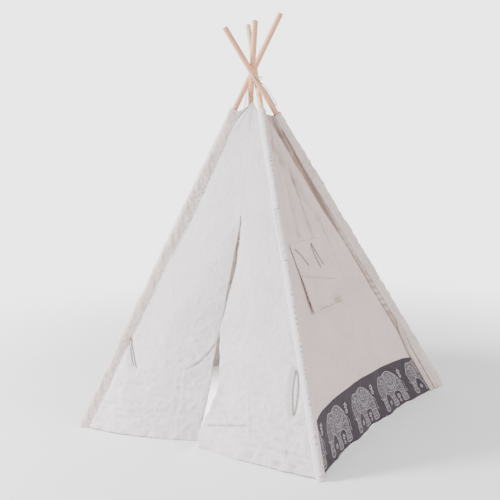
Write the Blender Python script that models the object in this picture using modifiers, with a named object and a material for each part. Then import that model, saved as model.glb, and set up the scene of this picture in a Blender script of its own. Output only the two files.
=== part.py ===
"""Kids' teepee: four jointed pine poles crossing near their tops, in a cotton canvas cover.

Metres, +Z up. The origin is on the floor under the middle of the base. The door faces -Y and the
window is in the +X wall. Each corner of the cover is a closed-ended sleeve with a pole inside it.
A sleeve is drawn out to the seam of the wall that carries it: the front walls carry the front
sleeves, and the side walls the rear ones. The front and rear pairs of poles form a scissor, with
its axis along X through the crossing.
"""

import math

import bmesh
import bpy
from mathutils import Matrix, Vector

# Overall frame
BASE_WIDTH = 1.09
BASE_DEPTH = 1.17
CROSSING_HEIGHT = 1.365
CROSSING_SHIFT_X = -0.030
CROSSING_SHIFT_Y = -0.040
FOLD_AXIS_HEIGHT = 1.345
FOLD_AXIS_SHIFT = 0.0222

# Fits
CLEARANCE = 0.0003
SEAM_GAP = 0.0008
CUT_OVERRUN = 0.010

# Poles
POLE_DIAMETER = 0.022
POLE_LENGTH = 1.849
POLE_END_BEVEL = 0.0015
SEGMENT_NAMES = ("lower", "middle", "upper")
POLE_SIDES = 24
FERRULE_LENGTH = 0.080
FERRULE_WALL = 0.0008

# Sleeves
SLEEVE_WALL = 0.0014
SLEEVE_SLACK = 0.0006
SLEEVE_REACH = 0.034
SLEEVE_TIP_RADIUS = 0.00175
SLEEVE_SEAM_WIDTH = 0.008
FRONT_SLEEVE_TOP = 1.258
REAR_SLEEVE_TOP = 1.240
SLEEVE_TAPER_LENGTH = 0.240
SLEEVE_ARC_STEPS = 14
POCKET_FLOOR = 0.002

# Cover cloth
CLOTH = 0.0016
HEM_HEIGHT = 0.003
WALL_TOP_DROP = 0.010
SIDE_BOW = 0.056
BACK_BOW = 0.040
BOW_END_HEIGHT = 1.0
SAG_POWER = 0.75
SIDE_RIPPLE = 0.007
RIPPLE_END_HEIGHT = 0.45
RIPPLE_WAVES = 4

# Door: a slit below the centre seam, and two flaps that fold back on slanting fold lines
SLIT_TOP_HEIGHT = 0.858
PEAK_HEIGHT = 1.288
DOOR_POST_WIDTH = 0.080
FOLD_GAP = 0.0004
FLAP_APEX_DROP = 0.030
SLIT_WIDTH = 0.057
FLAP_SAG_POWER = 1.5
LEFT_FLAP_BOW = 0.085
RIGHT_FLAP_BOW = 0.034
SEAM_HEM_SHARE = 0.479
SEAM_SLIT_SHARE = 0.600
SEAM_TOP_SHARE = 0.700

# Window in the +X wall, near its front edge, and the flap over it
WINDOW_SIDE_MARGIN = 0.0343
WINDOW_FLAP_WIDTH = 0.264
WINDOW_FLAP_TOP_HEIGHT = 0.745
WINDOW_FLAP_DROP = 0.257
WINDOW_MARGIN = 0.022

# Printed band round the foot of the closed walls
BAND_HEIGHT = 0.168
BAND_CLOTH = 0.0010

# Cords. Their free routes are chosen by hand, in metres.
CORD_DIAMETER = 0.0030
CORD_POINT_SPACING = 0.0075
LASHING_HEIGHT = 1.3865
LASHING_HOLE_SLACK = 0.0007
KNOT_DIAMETER = 0.0085
CORD_ROUTES = {
    "canvas_cord_front": [
        (-0.0257, -0.0520, 1.2900),
        (-0.0240, -0.0545, 1.3200),
        (-0.0210, -0.0590, 1.3450),
        (-0.0163, -0.0658, 1.3847),
    ],
    "canvas_cord_left": [
        (-0.0570, -0.0705, 1.2620),
        (-0.0585, -0.0600, 1.2850),
        (-0.0610, -0.0480, 1.3100),
        (-0.0625, -0.0380, 1.3300),
        (-0.0600, -0.0240, 1.3520),
        (-0.0640, -0.0130, 1.3700),
        (-0.0698, -0.0037, 1.3838),
    ],
    "lashing_loop": [
        (0.0090, -0.0895, 1.3827),
        (0.0120, -0.0809, 1.3776),
        (0.0190, -0.0716, 1.3676),
        (0.0250, -0.0590, 1.3595),
        (0.0280, -0.0490, 1.3513),
        (0.0332, -0.0426, 1.3413),
        (0.0377, -0.0371, 1.3293),
        (0.0447, -0.0290, 1.3133),
        (0.0532, -0.0194, 1.2951),
        (0.0573, -0.0139, 1.2823),
        (0.0575, -0.0110, 1.2735),
        (0.0535, -0.0090, 1.2715),
        (0.0484, -0.0113, 1.2782),
        (0.0409, -0.0185, 1.2951),
        (0.0330, -0.0280, 1.3153),
        (0.0258, -0.0365, 1.3333),
        (0.0166, -0.0420, 1.3473),
        (0.0053, -0.0430, 1.3593),
        (-0.0040, -0.0330, 1.3720),
        (-0.0080, -0.0170, 1.3820),
        (-0.0110, -0.0050, 1.3860),
        (-0.0185, -0.0018, 1.3865),
    ],
    "tie_back_left": [
        (-0.3339, -0.4859, 0.2508),
        (-0.3533, -0.4723, 0.2860),
        (-0.3714, -0.4587, 0.3216),
        (-0.3855, -0.4478, 0.3550),
        (-0.3902, -0.4492, 0.3570),
        (-0.3892, -0.4532, 0.3440),
        (-0.3785, -0.4619, 0.3137),
        (-0.3650, -0.4730, 0.2848),
        (-0.3483, -0.4840, 0.2565),
    ],
    "tie_back_right": [
        (0.3741, -0.4456, 0.3395),
        (0.3722, -0.4611, 0.3034),
        (0.3757, -0.4781, 0.2634),
        (0.3839, -0.4946, 0.2242),
        (0.3951, -0.5097, 0.1881),
        (0.3995, -0.4961, 0.2201),
        (0.3964, -0.4765, 0.2662),
        (0.3907, -0.4623, 0.2998),
        (0.3793, -0.4483, 0.3330),
    ],
    "window_tie_left": [
        (0.2354, -0.1930, 0.7322),
        (0.2382, -0.1822, 0.7231),
        (0.2447, -0.1621, 0.7043),
        (0.2525, -0.1441, 0.6820),
        (0.2619, -0.1258, 0.6555),
    ],
    "window_tie_right": [
        (0.2701, -0.0387, 0.6358),
        (0.2606, -0.0504, 0.6619),
        (0.2501, -0.0591, 0.6910),
        (0.2400, -0.0630, 0.7191),
        (0.2366, -0.0615, 0.7288),
        (0.2366, -0.0560, 0.7288),
        (0.2441, -0.0474, 0.7088),
        (0.2558, -0.0332, 0.6768),
        (0.2690, -0.0138, 0.6413),
    ],
}

TAU = 2 * math.pi
UP = Vector((0, 0, 1))

# Corner sides (x, y), and where the axis passes the crossing height, in pole diameters
CORNERS = {
    "front_left": (-1, -1),
    "front_right": (1, -1),
    "rear_right": (1, 1),
    "rear_left": (-1, 1),
}
CROSSING_SHARES = {
    "front_left": (-1.455, 0.205),
    "front_right": (-0.045, 1.273),
    "rear_right": (1.636, -1.227),
    "rear_left": (-0.364, -0.136),
}
# The corner that each sleeve's seam points to, and its reach from the axis at foot and top
SEAM_PARTNERS = {
    "front_left": "front_right",
    "front_right": "front_left",
    "rear_right": "front_right",
    "rear_left": "front_left",
}
REACH_SHARES = {
    "front_left": (1.00, 0.95),
    "front_right": (0.53, 0.50),
    "rear_right": (1.00, 0.49),
    "rear_left": (1.00, 0.49),
}

# The slit's edges left and right of its centre line, in slit widths, by level above the hem
SLIT_EDGE_SHARES = (
    (0.00, -0.20, 0.36),
    (0.06, -0.15, 0.24),
    (0.11, -0.08, 0.48),
    (0.18, 0.05, 0.82),
    (0.24, 0.03, 1.00),
    (0.30, 0.00, 1.00),
    (0.37, -0.04, 0.77),
    (0.44, -0.04, 0.50),
    (0.50, 0.03, 0.34),
    (0.62, 0.08, 0.41),
    (0.76, 0.09, 0.54),
    (0.87, 0.10, 0.43),
    (0.95, 0.10, 0.26),
    (1.00, 0.05, 0.14),
)

COLORS = {
    "pine": ((0.72, 0.55, 0.41, 1), 0.55, 0.0),
    "ferrule": ((0.75, 0.76, 0.78, 1), 0.35, 1.0),
    "canvas": ((0.80, 0.77, 0.76, 1), 0.90, 0.0),
    "sleeve": ((0.76, 0.71, 0.70, 1), 0.90, 0.0),
    "band": ((0.13, 0.11, 0.15, 1), 0.90, 0.0),
    "cord": ((0.78, 0.77, 0.75, 1), 0.85, 0.0),
}


# Scene and small helpers


def clear_scene():
    for obj in list(bpy.data.objects):
        bpy.data.objects.remove(obj)


def new_collection(name, helper=False):
    collection = bpy.data.collections.new(name)
    bpy.context.scene.collection.children.link(collection)
    collection.hide_render = helper
    return collection


def material(name, obj_name):
    color, roughness, metallic = COLORS[name]
    mat = bpy.data.materials.new(f"{name}_{obj_name}")
    mat.use_nodes = True
    shader = mat.node_tree.nodes["Principled BSDF"]
    shader.inputs["Base Color"].default_value = color
    shader.inputs["Roughness"].default_value = roughness
    shader.inputs["Metallic"].default_value = metallic
    mat.diffuse_color = color
    return mat


def add_object(name, data, collection, color):
    obj = bpy.data.objects.new(name, data)
    collection.objects.link(obj)
    data.materials.append(material(color, name))
    return obj


def as_cutter(obj, cutters):
    for old in list(obj.users_collection):
        old.objects.unlink(obj)
    cutters.objects.link(obj)
    obj.hide_render = True
    obj.display_type = "WIRE"
    return obj


def cut(obj, cutter):
    boolean = obj.modifiers.new("cut", "BOOLEAN")
    boolean.operation = "DIFFERENCE"
    boolean.solver = "EXACT"
    boolean.object = cutter


def lerp(a, b, share):
    return a + (b - a) * share


def shares(count):
    return [i / count for i in range(count + 1)]


def smooth(points, spacing):
    """Points every spacing along a smooth curve through the given route points."""
    route = [Vector(p) for p in points]
    ends = [route[0] * 2 - route[1]] + route + [route[-1] * 2 - route[-2]]
    fine = []
    for i in range(1, len(ends) - 2):
        before, start, end, after = ends[i - 1 : i + 3]
        for k in range(24):
            t = k / 24
            a = start * 2
            b = (end - before) * t
            c = (before * 2 - start * 5 + end * 4 - after) * t * t
            d = (start * 3 - before - end * 3 + after) * t * t * t
            fine.append((a + b + c + d) / 2)
    fine.append(route[-1])
    lengths = [0.0]
    for a, b in zip(fine, fine[1:]):
        lengths.append(lengths[-1] + (b - a).length)
    count = max(4, round(lengths[-1] / spacing))
    out = []
    k = 0
    for i in range(count + 1):
        want = lengths[-1] * i / count
        while k < len(lengths) - 2 and lengths[k + 1] < want:
            k += 1
        step = lengths[k + 1] - lengths[k]
        out.append(lerp(fine[k], fine[k + 1], (want - lengths[k]) / step))
    return out


def tube(name, points, diameter, collection, color="cord", resolution=2):
    """A closed tube along the points, as a curve with a round bevel and filled caps."""
    curve = bpy.data.curves.new(name, "CURVE")
    curve.dimensions = "3D"
    curve.bevel_depth = diameter / 2
    curve.bevel_resolution = resolution
    curve.use_fill_caps = True
    spline = curve.splines.new("POLY")
    spline.points.add(len(points) - 1)
    for place, point in zip(spline.points, points):
        place.co = (*point, 1)
    return add_object(name, curve, collection, color)


def meshed(curve_obj, collection, color):
    """The mesh of a curve object, its caps welded, in the curve's place."""
    bpy.context.view_layer.update()
    graph = bpy.context.evaluated_depsgraph_get()
    mesh = bpy.data.meshes.new_from_object(curve_obj.evaluated_get(graph))
    work = bmesh.new()
    work.from_mesh(mesh)
    bmesh.ops.remove_doubles(work, verts=work.verts, dist=CLEARANCE / 100)
    work.to_mesh(mesh)
    work.free()
    name = curve_obj.name
    matrix = curve_obj.matrix_world.copy()
    bpy.data.objects.remove(curve_obj)
    mesh.materials.clear()
    obj = add_object(name, mesh, collection, color)
    obj.matrix_world = matrix
    return obj


# Poles


class Pole:
    """One pole's axis line, and the two sides where cover walls meet its sleeve."""

    def __init__(self, corner):
        side_x, side_y = CORNERS[corner]
        share_x, share_y = CROSSING_SHARES[corner]
        self.corner = corner
        self.foot = Vector((side_x * BASE_WIDTH / 2, side_y * BASE_DEPTH / 2, 0))
        crossing = Vector(
            (
                CROSSING_SHIFT_X + share_x * POLE_DIAMETER,
                CROSSING_SHIFT_Y + share_y * POLE_DIAMETER,
                CROSSING_HEIGHT,
            )
        )
        self.axis = (crossing - self.foot).normalized()
        lean = math.sqrt(1 - self.axis.z**2)
        lowest = POCKET_FLOOR + CLEARANCE + lean * POLE_DIAMETER / 2
        self.start = lowest / self.axis.z

    def at(self, distance):
        """The axis point this far along from the foot."""
        return self.foot + self.axis * distance

    def at_height(self, height):
        return self.foot + self.axis * (height / self.axis.z)

    def across(self, other):
        """The unit direction square to this pole, towards the other one's foot."""
        way = other.foot - self.foot
        return (way - self.axis * way.dot(self.axis)).normalized()


def make_poles():
    poles = {corner: Pole(corner) for corner in CORNERS}
    for corner, pole in poles.items():
        pole.partner = poles[SEAM_PARTNERS[corner]]
    return poles


def rod(name, pole, start, end, radius, collection, color):
    """A round rod on the pole's axis, from one distance along it to another."""
    mesh = bpy.data.meshes.new(name)
    work = bmesh.new()
    bmesh.ops.create_cone(
        work,
        cap_ends=True,
        segments=POLE_SIDES,
        radius1=radius,
        radius2=radius,
        depth=end - start,
    )
    work.to_mesh(mesh)
    work.free()
    mesh.shade_smooth()
    mesh.set_sharp_from_angle(angle=math.radians(40))
    obj = add_object(name, mesh, collection, color)
    obj.location = pole.at((start + end) / 2)
    obj.rotation_mode = "QUATERNION"
    obj.rotation_quaternion = pole.axis.to_track_quat("Z", "Y")
    return obj


def bevel_end(obj, top):
    """Rounds the rim of one end only, through a vertex group on that end."""
    group = obj.vertex_groups.new(name="end")
    ends = [v.index for v in obj.data.vertices if (v.co.z > 0) == top]
    group.add(ends, 1.0, "REPLACE")
    bevel = obj.modifiers.new("rounded end", "BEVEL")
    bevel.width = POLE_END_BEVEL
    bevel.segments = 2
    bevel.limit_method = "VGROUP"
    bevel.vertex_group = "end"


def pole_joints(pole):
    """Distances along the pole of its two ends and of the joints between segments."""
    return [
        pole.start + POLE_LENGTH * share for share in shares(len(SEGMENT_NAMES))
    ]


def build_pole(pole, parts):
    joints = pole_joints(pole)
    segments = {}
    for i, part_name in enumerate(SEGMENT_NAMES):
        start = joints[i] + (CLEARANCE if i else 0)
        segments[part_name] = rod(
            f"pole_{pole.corner}_{part_name}",
            pole,
            start,
            joints[i + 1],
            POLE_DIAMETER / 2,
            parts,
            "pine",
        )
    bevel_end(segments["lower"], top=False)
    bevel_end(segments["upper"], top=True)
    return segments


def ferrule_radius():
    return POLE_DIAMETER / 2 + CLEARANCE + FERRULE_WALL


def build_ferrule(pole, joint, label, parts):
    """The metal tube over a joint between two segments: a turned shell with Solidify."""
    name = f"ferrule_{pole.corner}_{label}"
    outer = ferrule_radius()
    mesh = bpy.data.meshes.new(name)
    work = bmesh.new()
    bmesh.ops.create_cone(
        work,
        cap_ends=False,
        segments=POLE_SIDES,
        radius1=outer,
        radius2=outer,
        depth=FERRULE_LENGTH,
    )
    work.to_mesh(mesh)
    work.free()
    mesh.shade_smooth()
    obj = add_object(name, mesh, parts, "ferrule")
    obj.location = pole.at(joint)
    obj.rotation_mode = "QUATERNION"
    obj.rotation_quaternion = pole.axis.to_track_quat("Z", "Y")
    shell = obj.modifiers.new("wall", "SOLIDIFY")
    shell.thickness = FERRULE_WALL
    shell.offset = -1
    return obj


# Sleeves


def sleeve_inner_radius():
    return ferrule_radius() + SLEEVE_SLACK


def sleeve_outer_radius():
    return sleeve_inner_radius() + SLEEVE_WALL


def teardrop(radius, tip, tip_radius):
    """Outline points (out, side): a circle drawn out to a small round tip along out."""
    turn = math.acos((radius - tip_radius) / (tip - tip_radius))
    points = []
    for share in shares(SLEEVE_ARC_STEPS):
        angle = turn + (TAU - 2 * turn) * share
        points.append((radius * math.cos(angle), radius * math.sin(angle)))
    centre = tip - tip_radius
    for angle in (-turn, 0, turn):
        points.append(
            (centre + tip_radius * math.cos(angle), tip_radius * math.sin(angle))
        )
    return points


def sleeve_top_height(pole):
    return FRONT_SLEEVE_TOP if pole.foot.y < 0 else REAR_SLEEVE_TOP


def sleeve_top(pole):
    """The distance along the pole of the sleeve's open top."""
    return sleeve_top_height(pole) / pole.axis.z


def taper_start(pole):
    return sleeve_top(pole) - SLEEVE_TAPER_LENGTH


def sleeve_reach(pole, distance):
    """How far the seam lies from the axis: full reach, then drawn in to the top cuff."""
    foot_share, top_share = REACH_SHARES[pole.corner]
    rise = max(0.0, (distance - taper_start(pole)) / SLEEVE_TAPER_LENGTH)
    return SLEEVE_REACH * lerp(foot_share, top_share, rise)


def ring(pole, distance, outline, floor=None):
    """The outline round the axis, slid along the axis to one height where floor is set."""
    out = pole.across(pole.partner)
    side = pole.axis.cross(out)
    points = [pole.at(distance) + out * a + side * b for a, b in outline]
    if floor is not None:
        points = [p - pole.axis * ((p.z - floor) / pole.axis.z) for p in points]
    return points


def skin(work, rings, flip):
    """Side faces between rings of bmesh vertices."""
    for low, high in zip(rings, rings[1:]):
        count = len(low)
        for i in range(count):
            j = (i + 1) % count
            face = [low[i], low[j], high[j], high[i]]
            work.faces.new(face[::-1] if flip else face)


def sleeve_rings(pole):
    """The outer and inner outlines of the sleeve, from its pocket to its open top."""
    outer, inner = [], []
    stations = [0.0]
    stations += [lerp(taper_start(pole), sleeve_top(pole), rise) for rise in shares(4)]
    for distance in stations:
        tip = sleeve_reach(pole, distance)
        hollow_tip = max(tip - SLEEVE_SEAM_WIDTH, sleeve_inner_radius() + CLEARANCE)
        outline = teardrop(sleeve_outer_radius(), tip, SLEEVE_TIP_RADIUS)
        hollow = teardrop(sleeve_inner_radius(), hollow_tip, CLEARANCE)
        outer.append(ring(pole, distance, outline, None if distance else 0))
        inner.append(ring(pole, distance, hollow, None if distance else POCKET_FLOOR))
    return outer, inner


def build_sleeve(pole, parts):
    """A closed-ended cloth tunnel round the pole, cut flat where it stands on the floor."""
    name = f"sleeve_{pole.corner}"
    work = bmesh.new()
    outer, inner = sleeve_rings(pole)
    outer = [[work.verts.new(p) for p in points] for points in outer]
    inner = [[work.verts.new(p) for p in points] for points in inner]
    skin(work, outer, flip=False)
    skin(work, inner, flip=True)
    skin(work, [outer[-1], inner[-1]], flip=False)
    work.faces.new(outer[0][::-1])
    work.faces.new(inner[0])
    bmesh.ops.recalc_face_normals(work, faces=work.faces)
    mesh = bpy.data.meshes.new(name)
    work.to_mesh(mesh)
    work.free()
    mesh.shade_smooth()
    mesh.set_sharp_from_angle(angle=math.radians(40))
    return add_object(name, mesh, parts, "sleeve")


# Cover walls


def seam_point(pole, distance):
    """Where the wall that carries this sleeve starts, just off the sleeve's tip."""
    reach = sleeve_reach(pole, distance) + SEAM_GAP
    return pole.at(distance) + pole.across(pole.partner) * reach


def seam_at_height(pole, height):
    """The seam point at a height, found by stepping along the pole."""
    distance = height / pole.axis.z
    for _ in range(20):
        distance += (height - seam_point(pole, distance).z) / pole.axis.z
    return seam_point(pole, distance)


def edge_at_height(pole, other, height):
    """A wall's edge on this pole's sleeve: at its seam, or just off its round side."""
    if pole.partner is other:
        return seam_at_height(pole, height)
    start = pole.foot + pole.across(other) * (sleeve_outer_radius() + SEAM_GAP)
    return start + pole.axis * ((height - start.z) / pole.axis.z)


def bow_at(height, most):
    """How far the wall sags inwards at mid-width, fading to nothing up the wall."""
    return most * max(0.0, 1 - height / BOW_END_HEIGHT)


def ripple_at(share, height, most):
    fade = max(0.0, 1 - height / RIPPLE_END_HEIGHT)
    across = math.sin(math.pi * share) * math.cos(TAU * RIPPLE_WAVES * share)
    return most * fade * across


class Wall:
    """One cover wall between two poles, with its sag and the ripple along its hem."""

    def __init__(self, start, end, bow):
        self.start = start
        self.end = end
        self.bow = bow
        self.inward = UP.cross(end.foot - start.foot).normalized()

    def levels(self, count):
        """Row heights at both ends: hem, band edge, even steps, taper start, top edge."""
        tapers = [
            seam_point(pole, taper_start(pole)).z
            for pole, other in ((self.start, self.end), (self.end, self.start))
            if pole.partner is other
        ]
        bend = tapers[0] if tapers else lerp(BAND_HEIGHT, self.top(self.end), 4 / 5)
        rows = [HEM_HEIGHT, BAND_HEIGHT / 2, BAND_HEIGHT]
        rows += [lerp(BAND_HEIGHT, bend, share) for share in shares(count)[1:]]
        both = [(height, height) for height in rows]
        tops = self.top(self.start), self.top(self.end)
        both += [
            (lerp(bend, tops[0], share), lerp(bend, tops[1], share))
            for share in shares(3)[1:]
        ]
        return both

    def top(self, pole):
        return sleeve_top_height(pole) - WALL_TOP_DROP

    def point(self, share, height, far_height=None):
        near = edge_at_height(self.start, self.end, height)
        far = edge_at_height(self.end, self.start, far_height or height)
        across = (4 * share * (1 - share)) ** SAG_POWER
        sag = bow_at(height, self.bow) * across
        sag += ripple_at(share, height, SIDE_RIPPLE)
        return lerp(near, far, share) + self.inward * sag

    def rows(self, heights, columns):
        return [
            [self.point(share, near, far) for share in shares(columns)]
            for near, far in heights
        ]


def grid_mesh(name, rows):
    """An open surface through rows of points, all of one length."""
    work = bmesh.new()
    verts = [[work.verts.new(p) for p in row] for row in rows]
    for low, high in zip(verts, verts[1:]):
        for i in range(len(low) - 1):
            work.faces.new((low[i], low[i + 1], high[i + 1], high[i]))
    mesh = bpy.data.meshes.new(name)
    work.to_mesh(mesh)
    work.free()
    return mesh


def cloth(name, rows, parts, color="canvas", thickness=CLOTH, offset=0):
    obj = add_object(name, grid_mesh(name, rows), parts, color)
    shell = obj.modifiers.new("cloth", "SOLIDIFY")
    shell.thickness = thickness
    shell.offset = offset
    shell.use_even_offset = True
    return obj


def build_wall(name, wall, columns, count, parts):
    return cloth(name, wall.rows(wall.levels(count), columns), parts)


def lifted(rows, lift):
    """The same grid of points moved off the surface along its outward normals."""
    out = []
    for j, row in enumerate(rows):
        above = rows[min(j + 1, len(rows) - 1)]
        below = rows[max(j - 1, 0)]
        line = []
        for i, point in enumerate(row):
            along = row[min(i + 1, len(row) - 1)] - row[max(i - 1, 0)]
            normal = along.cross(above[i] - below[i]).normalized()
            line.append(point + normal * lift)
        out.append(line)
    return out


def build_band(name, wall, columns, parts):
    """The printed strip sewn on the outside of a closed wall, along its hem."""
    lift = (CLOTH + BAND_CLOTH) / 2 + CLEARANCE
    rows = wall.rows(wall.levels(1)[:3], columns)
    return cloth(name, lifted(rows, lift), parts, "band", BAND_CLOTH)


# Door front


def slit_edge_share(side, level):
    """The slit's left or right edge at a level above the hem, read off the table."""
    column = 1 if side < 0 else 2
    for low, high in zip(SLIT_EDGE_SHARES, SLIT_EDGE_SHARES[1:]):
        if level <= high[0]:
            return lerp(low[column], high[column], (level - low[0]) / (high[0] - low[0]))
    return SLIT_EDGE_SHARES[-1][column]


class Front:
    """The edge lines of the front wall: sleeves, centre seam, fold lines and slit."""

    def __init__(self, poles):
        self.left = poles["front_left"]
        self.right = poles["front_right"]
        self.slit_top = self.place(SEAM_SLIT_SHARE, SLIT_TOP_HEIGHT)
        self.peak = self.place(SEAM_TOP_SHARE, PEAK_HEIGHT)
        self.fold_foot = {
            side: self.beside(self.outer_edge(side, HEM_HEIGHT), -side * DOOR_POST_WIDTH)
            for side in (-1, 1)
        }

    def place(self, share, height):
        left = self.left.at_height(height)
        right = self.right.at_height(height)
        return lerp(left, right, share)

    def way(self):
        return (self.right.foot - self.left.foot).normalized()

    def beside(self, point, step):
        return point + self.way() * step

    def pole(self, side):
        return self.left if side < 0 else self.right

    def outer_edge(self, side, height):
        """The seam where a half meets its pole's sleeve."""
        return seam_at_height(self.pole(side), height)

    def inward(self):
        return UP.cross(self.way())

    def drop(self, height):
        """The share of the slit's height that lies above this height."""
        return 1 - (height - HEM_HEIGHT) / (SLIT_TOP_HEIGHT - HEM_HEIGHT)

    def fold(self, side, height):
        return lerp(self.slit_top, self.fold_foot[side], self.drop(height))

    def free_edge(self, side, height):
        """A flap's edge beside the slit, before its sag into the tent."""
        drop = self.drop(height)
        middle = lerp(self.slit_top, self.place(SEAM_HEM_SHARE, HEM_HEIGHT), drop)
        return self.beside(middle, slit_edge_share(side, 1 - drop) * SLIT_WIDTH)

    def sag(self, side, height):
        most = LEFT_FLAP_BOW if side < 0 else RIGHT_FLAP_BOW
        return most * self.drop(height)


def flap_point(front, side, share, height):
    """A point of a door flap; share runs from its fold line to its free edge."""
    fold = front.beside(front.fold(side, height), -side * FOLD_GAP)
    edge = front.free_edge(side, height)
    sag = front.inward() * front.sag(side, height) * share**FLAP_SAG_POWER
    return lerp(fold, edge, share) + sag


def build_flap(name, front, side, parts):
    top = SLIT_TOP_HEIGHT - FLAP_APEX_DROP
    rows = []
    for level in shares(14):
        height = lerp(HEM_HEIGHT, top, level)
        row = [flap_point(front, side, share, height) for share in shares(6)]
        rows.append(row if side < 0 else row[::-1])
    return cloth(name, rows, parts)


def half_heights(pole, top):
    """Row heights of a front half, with one where its sleeve starts to narrow."""
    taper = seam_point(pole, taper_start(pole)).z
    rows = [lerp(HEM_HEIGHT, SLIT_TOP_HEIGHT, level) for level in shares(8)]
    rows += [lerp(SLIT_TOP_HEIGHT, taper, level) for level in shares(3)[1:]]
    rows += [lerp(taper, top, level) for level in shares(3)[1:]]
    return rows


def build_front_half(name, front, side, parts):
    """The front beside the door and above it: fold line, centre seam and peak."""
    top = FRONT_SLEEVE_TOP - WALL_TOP_DROP
    rows = []
    for height in half_heights(front.pole(side), top):
        if height <= SLIT_TOP_HEIGHT:
            inner = front.fold(side, height)
        else:
            rise = (height - SLIT_TOP_HEIGHT) / (top - SLIT_TOP_HEIGHT)
            inner = lerp(front.slit_top, front.peak, rise)
        inner = front.beside(inner, side * FOLD_GAP)
        outer = front.outer_edge(side, height)
        row = [lerp(outer, inner, share) for share in shares(5)]
        rows.append(row if side < 0 else row[::-1])
    return cloth(name, rows, parts)


# Window flap


class Window:
    """The flap on the wall's outside, square to the wall's middle line, and its opening."""

    def __init__(self, wall):
        self.wall = wall
        self.width = WINDOW_FLAP_WIDTH
        edge = wall.point(0, WINDOW_FLAP_TOP_HEIGHT).y
        self.middle = edge + WINDOW_SIDE_MARGIN + self.width / 2
        corners = [
            self.on_wall(share, level) for level in (0, 1) for share in (0, 1)
        ]
        self.along = (corners[3] - corners[2]).normalized()
        up = corners[2] + corners[3] - corners[0] - corners[1]
        self.height = up.length / 2
        self.out = self.along.cross(up).normalized()

    def on_wall(self, share, level):
        """A point of the wall inside the flap's outline, from its foot to its top edge."""
        height = WINDOW_FLAP_TOP_HEIGHT - WINDOW_FLAP_DROP * (1 - level)
        place = self.middle + self.width * (share - 1 / 2)
        near = self.wall.point(0, height).y
        far = self.wall.point(1, height).y
        return self.wall.point((place - near) / (far - near), height)


def build_window_cutter(window, cutters):
    mesh = bpy.data.meshes.new("window_cutter")
    work = bmesh.new()
    bmesh.ops.create_cube(work, size=1)
    side = WINDOW_MARGIN / window.width
    rim = WINDOW_MARGIN / window.height
    deep = SIDE_BOW + CUT_OVERRUN
    for vert in work.verts:
        share = side if vert.co.x < 0 else 1 - side
        level = rim if vert.co.y < 0 else 1 - rim
        depth = -deep if vert.co.z < 0 else deep
        vert.co = window.on_wall(share, level) + window.out * depth
    bmesh.ops.recalc_face_normals(work, faces=work.faces)
    work.to_mesh(mesh)
    work.free()
    obj = bpy.data.objects.new("window_cutter", mesh)
    bpy.context.scene.collection.objects.link(obj)
    return as_cutter(obj, cutters)


def build_window_flap(window, parts):
    """The cloth flap over the window, sewn to the wall along its top edge."""
    rows = [
        [window.on_wall(share, level) for share in shares(7)] for level in shares(8)
    ]
    return cloth("window_flap", lifted(rows, CLOTH + 2 * CLEARANCE), parts)


# Cords


def lashing_place(pole, steps):
    """A point beside a pole's axis at the lashing's height, in pole diameters (x, y)."""
    offset = Vector((steps[0], steps[1], 0)) * POLE_DIAMETER
    return pole.at_height(LASHING_HEIGHT) + offset


def lashing_route(poles):
    """The lashing's way through the drilled poles: in at the front, out at the right."""
    rear_right, rear_left = poles["rear_right"], poles["rear_left"]
    front_left, front_right = poles["front_left"], poles["front_right"]
    return [
        lashing_place(rear_right, (0.285, -0.46)),
        lashing_place(rear_right, (0, 0)),
        lashing_place(rear_left, (0, 0)),
        lashing_place(front_left, (0, 0)),
        lashing_place(front_left, (-0.85, 0.25)),
        lashing_place(front_left, (-0.70, 1.05)),
        lashing_place(front_right, (-1.1, 0.05)),
        lashing_place(front_right, (0, 0)),
        lashing_place(front_right, (0.95, 0.05)),
    ]


def build_lashing(poles, segments, parts, cutters):
    """The cord threaded through all four poles, and the holes drilled for it."""
    points = smooth(lashing_route(poles), CORD_POINT_SPACING)
    hole = tube("lashing_hole", points, CORD_DIAMETER + 2 * LASHING_HOLE_SLACK, parts)
    hole = as_cutter(meshed(hole, parts, "cord"), cutters)
    for corner in CORNERS:
        cut(segments[corner]["upper"], hole)
    tube("lashing_cord", points, CORD_DIAMETER, parts)
    way = (points[0] - points[1]).normalized()
    build_knot(points[0] + way * (KNOT_DIAMETER / 2 + CLEARANCE), parts)


def build_knot(place, parts):
    """The lashing's knot, outside the front hole."""
    mesh = bpy.data.meshes.new("lashing_knot")
    work = bmesh.new()
    bmesh.ops.create_uvsphere(
        work, u_segments=12, v_segments=8, radius=KNOT_DIAMETER / 2
    )
    work.to_mesh(mesh)
    work.free()
    mesh.shade_smooth()
    knot = add_object("lashing_knot", mesh, parts, "cord")
    knot.location = place


def build_cords(parts):
    for name, route in CORD_ROUTES.items():
        tube(name, smooth(route, CORD_POINT_SPACING), CORD_DIAMETER, parts)


# Joints


def hinge(name, place, parts, children):
    """An empty on a joint's axis, with the moving pieces as its children in place."""
    empty = bpy.data.objects.new(name, None)
    parts.objects.link(empty)
    empty.location = place
    empty.empty_display_size = POLE_DIAMETER
    for child_name in children:
        child = bpy.data.objects[child_name]
        child.parent = empty
        child.matrix_parent_inverse = Matrix.Translation(-place)


def rear_frame_nodes(poles):
    names = ["back_panel", "back_band"]
    for corner, pole in poles.items():
        if pole.foot.y > 0:
            names += [f"pole_{corner}_{part}" for part in SEGMENT_NAMES]
            names += [f"ferrule_{corner}_lower", f"ferrule_{corner}_upper"]
            names.append(f"sleeve_{corner}")
    return names


def fold_axis_point(poles):
    """A point on the scissor's axis, between the front and rear poles at the lashing."""
    heights = [pole.at_height(FOLD_AXIS_HEIGHT).y for pole in poles.values()]
    return Vector((0, sum(heights) / len(heights) - FOLD_AXIS_SHIFT, FOLD_AXIS_HEIGHT))


def door_hinge_point(front, side):
    """The foot of a flap's fold line, on the cloth's outer face."""
    foot = front.fold(side, HEM_HEIGHT)
    out = front.way().cross(front.slit_top - foot).normalized()
    return foot + out * (CLOTH / 2)


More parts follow.
